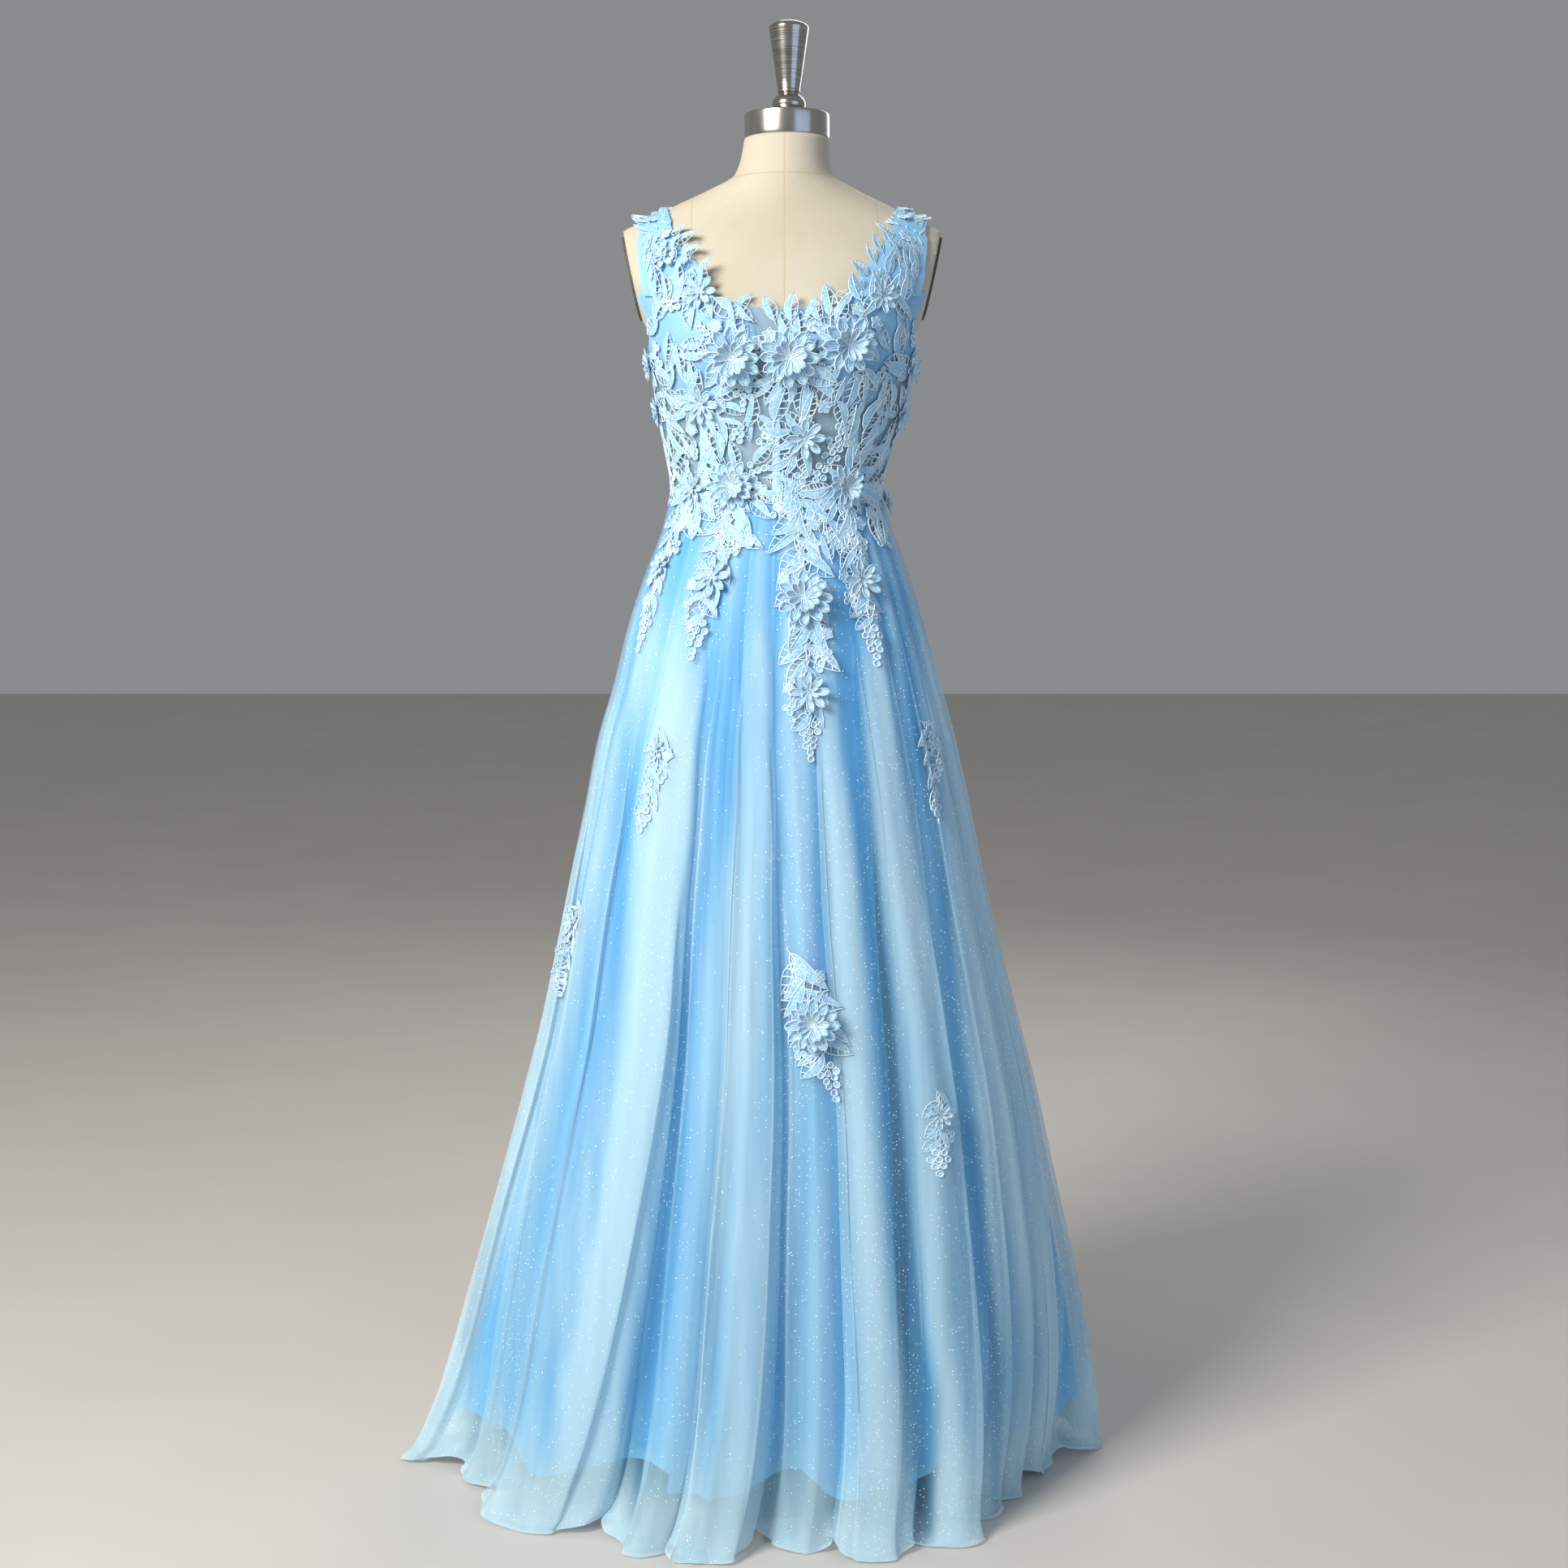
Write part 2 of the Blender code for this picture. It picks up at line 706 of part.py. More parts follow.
bodiceFront = bodiceWall("bodice_front", HALF, TORSO_COLUMNS, SEAM_SHARE, SEAM_SHARE)
bodiceBackRight = bodiceWall("bodice_back_right", 0, QUARTER, SEAM_SHARE, SEAM_SHARE)
bodiceBackLeft = bodiceWall("bodice_back_left", QUARTER, HALF, SEAM_SHARE, SEAM_SHARE)


def addCup(name, side):
    centreColumn = 3 * QUARTER
    outer = []
    inner = []
    for row in range(len(CUP_LEVELS) + 2):
        outerRow = []
        innerRow = []
        for columns, bottom, top in CUP_EDGES:
            z = (bottom,) + CUP_LEVELS + (top,)
            column = centreColumn + side * columns
            outerRow.append(torsoOff(column, z[row], CUP_OFFSET + CUP_WALL))
            innerRow.append(torsoOff(column, z[row], CUP_OFFSET))
        outer.append(outerRow)
        inner.append(innerRow)
    return addWall(name, outer, inner, "cup")


addCup("cup_left", -1)
addCup("cup_right", 1)


def hitFrom(tree, side, across, z):
    """The first point of the wall seen from this side, and the direction back to the viewer."""
    starts = {
        "front": (Vector((across, -1.0, z)), Vector((0.0, 1.0, 0.0))),
        "back": (Vector((across, 1.0, z)), Vector((0.0, -1.0, 0.0))),
        "left": (Vector((-1.0, across, z)), Vector((1.0, 0.0, 0.0))),
        "right": (Vector((1.0, across, z)), Vector((-1.0, 0.0, 0.0))),
    }
    start, way = starts[side]
    spot, _, _, _ = tree.ray_cast(start, way)
    return spot


def frameAt(tree, side, across, z, probe):
    """Spot on the wall with its outward direction and two directions along it, evened over a small area."""
    spot = hitFrom(tree, side, across, z)
    right = hitFrom(tree, side, across + probe, z)
    left = hitFrom(tree, side, across - probe, z)
    above = hitFrom(tree, side, across, z + probe)
    below = hitFrom(tree, side, across, z - probe)
    alongX = ((right or spot) - (left or spot)).normalized()
    alongZ = ((above or spot) - (below or spot)).normalized()
    out = alongX.cross(alongZ).normalized()
    toward = {"front": (0, -1, 0), "back": (0, 1, 0), "left": (-1, 0, 0), "right": (1, 0, 0)}[side]
    if out.dot(Vector(toward)) < 0.0:
        out = -out
    alongX = (alongX - out * alongX.dot(out)).normalized()
    return spot, out, alongX, out.cross(alongX)


frontTree = treeOf(bodiceFront)


def addChannel(name, x, top, bottom):
    outer = []
    inner = []
    for row in range(CHANNEL_ROWS + 1):
        z = lerp(bottom, top, row / CHANNEL_ROWS)
        outerRow = []
        innerRow = []
        for step in (-1.0, 0.0, 1.0):
            spot = hitFrom(frontTree, "front", x + step * CHANNEL_HALF, z)
            out = Vector((x, CHANNEL_DEPTH_CENTRE, 0.0)).normalized()
            innerRow.append(spot + out * CHANNEL_OFF)
            outerRow.append(spot + out * (CHANNEL_OFF + CHANNEL_WALL))
        outer.append(outerRow)
        inner.append(innerRow)
    return addWall(name, outer, inner, "net")


for channel in CHANNELS:
    addChannel(*channel)

# Shoulder straps, laid over the torso and lapping the bodice


def strapPoint(turn, x, off):
    way = Vector((0.0, -math.cos(turn), math.sin(turn)))
    pivot = Vector((x, 0.0, STRAP_PIVOT_Z))
    spot, _, _, _ = torsoTree.ray_cast(pivot + way * 0.5, -way)
    splay = STRAP_SPLAY * (x / 0.15) * max(0.0, math.cos(turn)) if turn < 1.0 else 0.0
    out = (way + Vector((splay, 0.0, 0.0))).normalized()
    return spot + out * off


def addStrap(name, side):
    outer = []
    inner = []
    first = STRAP_SECTIONS[0][0]
    last = STRAP_SECTIONS[-1][0]
    for row in range(STRAP_ROWS):
        turn = lerp(first, last, row / (STRAP_ROWS - 1))
        near = lookUp(STRAP_SECTIONS, turn, "inner")
        far = lookUp(STRAP_SECTIONS, turn, "outer")
        rise = smooth01(math.sin(math.radians(clamp01(turn / 180.0) * 180.0)) * 1.6)
        off = lerp(STRAP_OFF_ENDS, STRAP_OFF_TOP, rise)
        outerRow = []
        innerRow = []
        for step in range(STRAP_COLUMNS):
            x = FORM_CENTRE + side * lerp(near, far, step / (STRAP_COLUMNS - 1))
            innerRow.append(strapPoint(math.radians(turn), x, off))
            outerRow.append(strapPoint(math.radians(turn), x, off + NET_WALL))
        outer.append(outerRow)
        inner.append(innerRow)
    return addWall(name, outer, inner, "lace")


strapLeft = addStrap("strap_left", -1.0)
strapRight = addStrap("strap_right", 1.0)


# The skirt


def skirtShape(z):
    """Centre x, half width, front depth and back depth of the skirt at this height."""
    share = clamp01((z - SKIRT_SECTIONS[0].z) / (WAIST_SEAM - SKIRT_SECTIONS[0].z))
    edges = ("left", "right", "front", "back")
    left, right, front, back = (lookUp(SKIRT_SECTIONS, z, edge) for edge in edges)
    centre = 0.5 * (left + right)
    half = 0.5 * (right - left)
    waist = next(section for section in TORSO_SECTIONS if section.z == WAIST_SEAM)
    return (
        lerp(centre, waist.centre, share),
        lerp(half, waist.half + SKIRT_NET_OUTER, share),
        lerp(front, waist.front + SKIRT_NET_OUTER, share),
        lerp(back, waist.back + SKIRT_NET_OUTER, share),
    )


def foldTable():
    """Every ridge round the skirt: turn at the hip, turn and reach at the hem, and the valley after it."""
    hipCentre, hipHalf, _, _ = skirtShape(HIP_HEIGHT)
    hemCentre, hemHalf, hemFront, hemBack = skirtShape(0.0)
    ridges = []
    for fold in FRONT_FOLDS:
        hip = -math.acos(max(-1.0, min(1.0, (fold.x_hip - hipCentre) / (hipHalf * HIP_EASE))))
        depth = hemFront if fold.y_hem < 0.0 else hemBack
        across = (fold.x_hem - hemCentre) / hemHalf
        ahead = fold.y_hem / depth
        hem = math.atan2(ahead, across)
        if hem > 0.5 * math.pi:
            hem -= FULL_TURN
        ridges.append((hip, hem, math.hypot(across, ahead), fold.valley))
    for fold in BACK_FOLDS:
        ridges.append((math.radians(fold.hip_turn), math.radians(fold.hem_turn), fold.reach, fold.valley))
    return table("hip hem reach valley", ridges)


RIDGES = foldTable()


def wavePoint(ridge, share, z, sink, wave, inset):
    """Point of a folded skirt between one ridge and the next, share 0 to 1, at this height."""
    this = RIDGES[ridge % len(RIDGES)]
    following = RIDGES[(ridge + 1) % len(RIDGES)]
    fall = clamp01((HIP_HEIGHT - z) / HIP_HEIGHT)
    turns = []
    for source, lap in ((this, ridge // len(RIDGES)), (following, (ridge + 1) // len(RIDGES))):
        turns.append(lerp(source.hip, source.hem, fall) + lap * FULL_TURN)
    turn = lerp(turns[0], turns[1], share)
    reach = lerp(1.0, lerp(this.reach, following.reach, smooth01(share)), fall ** REACH_POWER)
    dip = math.sin(math.pi * share) ** VALLEY_POWER
    grow = clamp01((WAIST_SEAM - z) / WAIST_SEAM)
    depth = FOLD_TOP_DEPTH * clamp01((WAIST_SEAM - z) / FOLD_START) + this.valley * grow ** FOLD_GROWTH
    centre, half, front, back = skirtShape(z)
    c = math.cos(turn)
    s = math.sin(turn)
    across = half * c * reach
    ahead = (front if s < 0.0 else back) * s * reach
    flat = Vector((across, ahead, 0.0))
    length = flat.length
    inward = inset + depth * (sink + wave * dip)
    flat = flat * ((length - inward) / length)
    return Vector((centre + flat.x, flat.y, z))


def netHem(share):
    return HEM_ARCH * math.sin(math.pi * share) ** 2


def netPoint(ridge, share, row):
    z = NET_ROWS[row]
    spot = wavePoint(ridge, share, z, 0.0, 1.0, 0.0)
    if row >= len(NET_ROWS) - 2:
        lift = netHem(share) * (1.0 if row == len(NET_ROWS) - 1 else 0.5)
        spot.z += lift
    return spot


def liningPoint(ridge, share, row):
    z = LINING_ROWS[row]
    return wavePoint(ridge, share, z, LINING_SINK, LINING_WAVE, LINING_BEHIND_NET)


def skirtPanel(name, maker, rows, span, steps, thickness, colour):
    """A folded wall from one ridge to another, with a seam's gap taken off each end."""
    first, last = span
    shares = [(ridge, step / steps) for ridge in range(first, last) for step in range(steps)]
    shares.append((last - 1, 1.0))
    shares[0] = (first, PANEL_TRIM)
    shares[-1] = (last - 1, 1.0 - PANEL_TRIM)
    outer = []
    inner = []
    for row in range(rows):
        line = [maker(ridge, share, row) for ridge, share in shares]
        inside = []
        for index, point in enumerate(line):
            before = line[max(0, index - 1)]
            after = line[min(len(line) - 1, index + 1)]
            along = after - before
            inside.append(point - Vector((along.y, -along.x, 0.0)).normalized() * thickness)
        outer.append(line)
        inner.append(inside)
    return addWall(name, outer, inner, colour)


FRONT_COUNT = len(FRONT_FOLDS)
ALL_COUNT = len(RIDGES)
frontSpan = (0, FRONT_COUNT - 1)
backSpan = (FRONT_COUNT - 1, ALL_COUNT)
netRows = len(NET_ROWS)
netFront = skirtPanel("skirt_net_front", netPoint, netRows, frontSpan, FRONT_STEPS_PER_FOLD, NET_WALL, "net")
netBack = skirtPanel("skirt_net_back", netPoint, netRows, backSpan, BACK_STEPS_PER_FOLD, NET_WALL, "net")
for name, span in (("skirt_lining_front", frontSpan), ("skirt_lining_back", backSpan)):
    skirtPanel(name, liningPoint, len(LINING_ROWS), span, LINING_STEPS_PER_FOLD, LINING_WALL, "lining")


# Seating: the least distance off the wall at which a piece is clear of it


def seated(pointsAt, faces, trees):
    """Points of the piece at the least distance off the wall that touches none of these, and a little more."""
    for attempt in range(SEAT_TRIES):
        off = SEAT_START + SEAT_STEP * attempt
        own = BVHTree.FromPolygons(pointsAt(off), triangles(faces))
        if not any(own.overlap(tree) for tree in trees):
            return pointsAt(off + SEAT_CLEAR)
    return pointsAt(SEAT_START + SEAT_STEP * SEAT_TRIES)


# Flowers: a ring of raised petals round a boss, over a small foot


def flowerMesh(spot, out, alongX, alongZ, radius, foot):
    """Points and faces of one stand-up flower whose foot is this far off the wall."""
    base = spot + out * foot
    rise = radius * FLOWER_RISE
    rings = FLOWER_RINGS
    points = []
    count = 2 * PETALS
    for ring in rings:
        for step in range(count):
            turn = FULL_TURN * step / count
            isTip = step % 2 == 0
            reach = radius * (ring.tip if isTip else ring.notch)
            up = rise * (ring.tip_rise if isTip else ring.notch_rise)
            aside = alongX * (reach * math.cos(turn)) + alongZ * (reach * math.sin(turn))
            points.append(base + aside + out * up)
    faces = []
    for ring in range(len(rings) - 1):
        for step in range(count):
            following = (step + 1) % count
            near = ring * count
            far = near + count
            faces.append((near + step, near + following, far + following, far + step))
    foot = len(points)
    points.append(base)
    boss = len(points)
    points.append(base + out * (rise * BOSS_HEIGHT))
    last = (len(rings) - 1) * count
    for step in range(count):
        following = (step + 1) % count
        faces.append((following, step, foot))
        faces.append((last + step, last + following, boss))
    return points, faces


def sideTree(made):
    shape = bmesh.new()
    for item in made:
        shape.from_mesh(item.data)
    tree = BVHTree.FromBMesh(shape)
    shape.free()
    return tree


def addFlower(name, spot, out, up, radius, trees):
    """A flower on the wall at this spot, square to the wall, seated clear of these trees."""
    alongZ = up.normalized()
    alongX = alongZ.cross(out).normalized()
    out = alongX.cross(alongZ).normalized()
    faces = flowerMesh(spot, out, alongX, alongZ, radius, 0.0)[1]
    points = seated(lambda off: flowerMesh(spot, out, alongX, alongZ, radius, off)[0], faces, trees)
    addObject(name, points, faces, "lace", smooth=False)


gownTree = sideTree([bodiceFront, bodiceBackLeft, bodiceBackRight, strapLeft, strapRight, netFront, netBack])
netTree = sideTree([netFront, netBack])

for name, across, z, side, radius in FLOWERS:
    spot, out, alongX, alongZ = frameAt(gownTree, side, across, z, 0.4 * radius)
    addFlower(name, spot, out, alongZ, radius, [gownTree])


# Lace sprays: a leafy strip made from the net's points, moved out, with flowers fused to it


def hitTurn(tree, turn, z):
    """Where a level line towards the skirt's centre meets the wall, and the way back out along it."""
    way = Vector((math.sin(turn), -math.cos(turn), 0.0))
    centre = Vector((skirtShape(z)[0], 0.0, z))
    spot, _, _, _ = tree.ray_cast(centre + way, -way)
    return spot, way


def turnAt(side, x, z):
    """The turn from straight ahead at which the skirt's wall has this x."""
    low, high = (-1.55, 1.55) if side == "front" else (math.pi + 1.55, math.pi - 1.55)
    for _ in range(30):
        middle = 0.5 * (low + high)
        spot, _ = hitTurn(netTree, middle, z)
        if spot.x < x:
            low = middle
        else:
            high = middle
    return 0.5 * (low + high)


def addSpray(name, side, x0, z0, x1, z1, half, flowers):
    start = turnAt(side, x0, z0)
    end = turnAt(side, x1, z1)
    middleSpot, _ = hitTurn(netTree, 0.5 * (start + end), 0.5 * (z0 + z1))
    radius = Vector((middleSpot.x - skirtShape(middleSpot.z)[0], middleSpot.y)).length
    run = ((end - start) * radius, z1 - z0)
    length = math.hypot(*run)
    rows = max(4, 2 * round(length / LEAF_PITCH))
    way = (run[0] / length, run[1] / length)
    spots = []
    for row in range(rows + 1):
        along = length * row / rows
        reach = half * (1.0 - 0.5 * (row / rows) ** 2) * (1.0 if row % 2 else SPRAY_WAIST)
        reach = reach if row < rows else half * SPRAY_TIP
        swell = 0.0
        for share, size, bloom in flowers:
            if not bloom:
                away = (along - share * length) / size
                swell += BOSS_RISE * size * max(0.0, 1.0 - away * away)
        for step in SPRAY_STEPS:
            turn = start + (way[0] * along - way[1] * reach * step) / radius
            z = z0 + way[1] * along + way[0] * reach * step
            spot, out = hitTurn(netTree, turn, z)
            spots.append((spot, out, LACE_WALL + swell * (1.0 - 0.6 * abs(step))))

    def pointsAt(off):
        outside = [spot + out * (off + thick) for spot, out, thick in spots]
        return outside + [spot + out * off for spot, out, thick in spots]

    faces = wallFaces(rows + 1, len(SPRAY_STEPS), False)
    strip = addObject(name, seated(pointsAt, faces, [netTree]), faces, "lace")
    stripTree = treeOf(strip)
    for share, size, bloom in flowers:
        if not bloom:
            continue
        turn = lerp(start, end, share)
        z = lerp(z0, z1, share)
        spot, out = hitTurn(stripTree, turn, z)
        above, _ = hitTurn(netTree, turn, z + size)
        below, _ = hitTurn(netTree, turn, z - size)
        addFlower(bloom, spot, out, above - below, size, [stripTree, netTree])


for spray in SPRAYS:
    addSpray(*spray)
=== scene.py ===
import functools
import math
import random

import bmesh
import bpy
from mathutils import Matrix, Vector
from mathutils.bvhtree import BVHTree


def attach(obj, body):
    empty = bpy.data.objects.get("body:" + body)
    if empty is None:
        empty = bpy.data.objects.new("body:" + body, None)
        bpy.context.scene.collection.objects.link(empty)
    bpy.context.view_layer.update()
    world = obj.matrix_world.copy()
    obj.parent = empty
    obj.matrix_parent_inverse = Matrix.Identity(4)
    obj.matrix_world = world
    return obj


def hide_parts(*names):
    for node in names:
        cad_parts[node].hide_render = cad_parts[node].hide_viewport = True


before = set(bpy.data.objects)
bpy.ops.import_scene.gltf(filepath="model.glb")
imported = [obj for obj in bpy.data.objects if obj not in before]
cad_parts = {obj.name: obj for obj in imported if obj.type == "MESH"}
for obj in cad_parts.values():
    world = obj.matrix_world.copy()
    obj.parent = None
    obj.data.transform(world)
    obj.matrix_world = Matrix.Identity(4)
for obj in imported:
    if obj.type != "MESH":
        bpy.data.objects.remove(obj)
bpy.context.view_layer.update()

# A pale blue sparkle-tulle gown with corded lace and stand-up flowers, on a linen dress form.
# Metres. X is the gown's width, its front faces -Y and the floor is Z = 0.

fullTurn = 2.0 * math.pi
waist = 1.166
body = "root"


# Colours and materials

# A hex colour as Blender's linear values.
def srgb(hexText):
    parts = [int(hexText[at:at + 2], 16) / 255.0 for at in (1, 3, 5)]
    return tuple(((p + 0.055) / 1.055) ** 2.4 if p > 0.04045 else p / 12.92 for p in parts) + (1.0,)


# One shader node. An input is a plain value or a socket to link from,
# and stops are a ramp's places and colours.
def addNode(material, kind, settings=None, inputs=None, stops=()):
    node = material.node_tree.nodes.new(kind)
    for key, value in (settings or {}).items():
        setattr(node, key, value)
    for key, value in (inputs or {}).items():
        if isinstance(value, bpy.types.NodeSocket):
            material.node_tree.links.new(value, node.inputs[key])
        else:
            node.inputs[key].default_value = value
    for element, (place, colour) in zip(node.color_ramp.elements if stops else (), stops):
        element.position = place
        element.color = srgb(colour)
    return node


# A Principled material with these values for its own sockets.
def newMaterial(name, **sockets):
    material = bpy.data.materials.new(name)
    material.use_nodes = True
    shader = material.node_tree.nodes["Principled BSDF"]
    for key, value in sockets.items():
        shader.inputs[key.replace("_", " ")].default_value = value
    return material, shader


# Links these sockets to the shader's inputs of the same names.
def linkTo(material, shader, **sockets):
    for key, socket in sockets.items():
        material.node_tree.links.new(socket, shader.inputs[key.replace("_", " ")])


tulle = {
    "streaks": 22.0,         # soft upright streaks per metre
    "glitterCell": 250.0,    # cells per metre, of which some hold a dot, about 6 mm apart
    "glitterSize": 0.155,    # share of a cell: real glitter is 0.4 mm, drawn 1.2 mm across to show
    # white of the glitter dots: the flakes, with their glint painted in as colour
    "dot": "#FFFFFF",
    "sheen": "#BFE2F7",
}


# Nylon tulle with glued glitter: a fine see-through net, denser along the edges of its folds.
# Its mesh is 1 mm, too fine to show, so it is drawn as how much it covers:
# thin in a valley, dense where it gathers or is doubled. The same amount also paints its colour,
# deeper blue as painted shade in valleys and dark streaks, paler as painted light on ridges,
# fold edges, the hem and light streaks. The glitter's glint is painted in as white dots.
def netMaterial(name, thin, dense, light, shade, glitter=1.0):
    material, shader = newMaterial(name, Roughness=0.7, Sheen_Weight=0.45, Sheen_Roughness=0.4)
    shader.inputs["Sheen Tint"].default_value = srgb(tulle["sheen"])
    place = addNode(material, "ShaderNodeTexCoord").outputs["Object"]
    streaks = addNode(material, "ShaderNodeMapping", inputs={
        "Vector": place, "Scale": (tulle["streaks"], tulle["streaks"], 1.0)})
    uneven = addNode(material, "ShaderNodeTexNoise", inputs={
        "Vector": streaks.outputs["Vector"], "Scale": 1.0, "Detail": 3.0, "Roughness": 0.55})
    foldAndPaintedShade = addNode(material, "ShaderNodeAttribute", {"attribute_name": "ridge"})
    part = addNode(material, "ShaderNodeMath", {"operation": "MULTIPLY_ADD"}, {
        0: foldAndPaintedShade.outputs["Fac"], 1: 0.62, 2: -0.22})
    amount = addNode(material, "ShaderNodeMath", {"operation": "MULTIPLY_ADD"}, {
        0: uneven.outputs["Fac"], 1: 0.75, 2: part.outputs["Value"]}).outputs["Value"]
    # painted shade to painted light: deeper blue where the net is thin, paler where it is dense
    cloth = addNode(material, "ShaderNodeValToRGB", inputs={"Fac": amount},
                    stops=[(0.20, shade), (0.75, light)])
    cells = addNode(material, "ShaderNodeTexVoronoi", inputs={
        "Vector": place, "Scale": tulle["glitterCell"]})
    near = addNode(material, "ShaderNodeMath", {"operation": "LESS_THAN"}, {
        0: cells.outputs["Distance"], 1: tulle["glitterSize"]})
    pick = addNode(material, "ShaderNodeSeparateColor", inputs={"Color": cells.outputs["Color"]})
    bands = addNode(material, "ShaderNodeTexNoise", inputs={
        "Vector": streaks.outputs["Vector"], "Scale": 0.5, "Detail": 2.0})
    crowd = addNode(material, "ShaderNodeMapRange", inputs={
        "Value": bands.outputs["Fac"], "From Min": 0.40, "From Max": 0.68,
        "To Min": 0.10 * glitter, "To Max": 0.85 * glitter})
    chosen = addNode(material, "ShaderNodeMath", {"operation": "LESS_THAN"}, {
        0: pick.outputs["Red"], 1: crowd.outputs["Result"]})
    # glitter dots, their glint painted in as white
    glitterWithPaintedGlint = addNode(material, "ShaderNodeMath", {"operation": "MULTIPLY"}, {
        0: near.outputs["Value"], 1: chosen.outputs["Value"]})
    mixed = addNode(material, "ShaderNodeMix", {"data_type": "RGBA"}, {
        "Factor": glitterWithPaintedGlint.outputs["Value"], "A": cloth.outputs["Color"], "B": srgb(tulle["dot"])})
    soft = addNode(material, "ShaderNodeMapRange", inputs={
        "Value": amount, "From Min": 0.15, "From Max": 0.95, "To Min": thin, "To Max": dense})
    cover = addNode(material, "ShaderNodeMath", {"operation": "MAXIMUM"}, {
        0: soft.outputs["Result"], 1: glitterWithPaintedGlint.outputs["Value"]})
    linkTo(material, shader, Base_Color=mixed.outputs[2], Alpha=cover.outputs["Value"])
    return material


# Polyester satin-back crepe: opaque, smooth, with a soft sheen and a fine weave.
# Its threads are 0.3 mm apart, drawn 1.1 mm apart to show, and the colour is painted deeper
# in the valleys and dark streaks as shade, and paler on the ridges and light streaks as light.
def liningMaterial():
    material, shader = newMaterial("crepe_lining_woven", Roughness=0.55, Sheen_Weight=0.5,
                                   Sheen_Roughness=0.35, Specular_IOR_Level=0.35)
    place = addNode(material, "ShaderNodeTexCoord").outputs["Object"]
    tall = addNode(material, "ShaderNodeMapping", inputs={"Vector": place, "Scale": (14.0, 14.0, 0.8)})
    patch = addNode(material, "ShaderNodeTexNoise", inputs={
        "Vector": tall.outputs["Vector"], "Scale": 1.0, "Detail": 2.0})
    foldAndPaintedShade = addNode(material, "ShaderNodeAttribute", {"attribute_name": "ridge"})
    half = addNode(material, "ShaderNodeMath", {"operation": "MULTIPLY"}, {
        0: patch.outputs["Fac"], 1: 0.5})
    amount = addNode(material, "ShaderNodeMath", {"operation": "MULTIPLY_ADD"}, {
        0: foldAndPaintedShade.outputs["Fac"], 1: 0.5, 2: half.outputs["Value"]})
    # painted shade: the crepe is darker blue in the valleys, paler on the ridges
    shade = addNode(material, "ShaderNodeValToRGB", inputs={"Fac": amount.outputs["Value"]},
                    stops=[(0.25, "#4F9FDA"), (0.65, "#78C2EC")])
    weave = addNode(material, "ShaderNodeTexNoise", inputs={"Vector": place, "Scale": 900.0, "Detail": 1.0})
    bump = addNode(material, "ShaderNodeBump", inputs={
        "Height": weave.outputs["Fac"], "Strength": 0.08, "Distance": 0.0004})
    linkTo(material, shader, Base_Color=shade.outputs["Color"], Normal=bump.outputs["Normal"])
    return material


# A surface of patches between two colours, with a fine raised pattern. Patches and grain are counted
# per metre, relief is the pattern's strength and depth, and pattern is its node, output and settings.
def surfaceMaterial(name, patches, colours, pattern, grain, relief, **sockets):
    material, shader = newMaterial(name, **sockets)
    kind, output, settings = pattern
    place = addNode(material, "ShaderNodeTexCoord").outputs["Object"]
    patch = addNode(material, "ShaderNodeTexNoise", inputs={
        "Vector": place, "Scale": patches, "Detail": 2.0})
    shade = addNode(material, "ShaderNodeValToRGB", inputs={"Fac": patch.outputs["Fac"]}, stops=colours)
    raised = addNode(material, kind, inputs={"Vector": place, "Scale": grain, **settings})
    bump = addNode(material, "ShaderNodeBump", inputs={
        "Height": raised.outputs[output], "Strength": relief[0], "Distance": relief[1]})
    linkTo(material, shader, Base_Color=shade.outputs["Color"], Normal=bump.outputs["Normal"])
    return material


# Embroidered organza between the cords: thread rows 1.2 mm apart over a light blue ground.
# Real rows are 0.4 mm apart, which would not show.
def fillMaterial(name, deep, pale):
    return surfaceMaterial(
        name, 320.0, [(0.36, deep), (0.64, pale)], ("ShaderNodeTexWave", "Fac", {"Distortion": 4.0}),
        260.0, (0.4, 0.0004), Roughness=0.6, Sheen_Weight=0.4, Sheen_Roughness=0.4)


# x of the middle seam, how far the side ones stand from it, height of the one round the neck
formSeams = {"centre": 0.0046, "princess": 0.104, "width": 0.0008, "neck": 1.5255, "neckWidth": 0.0009}


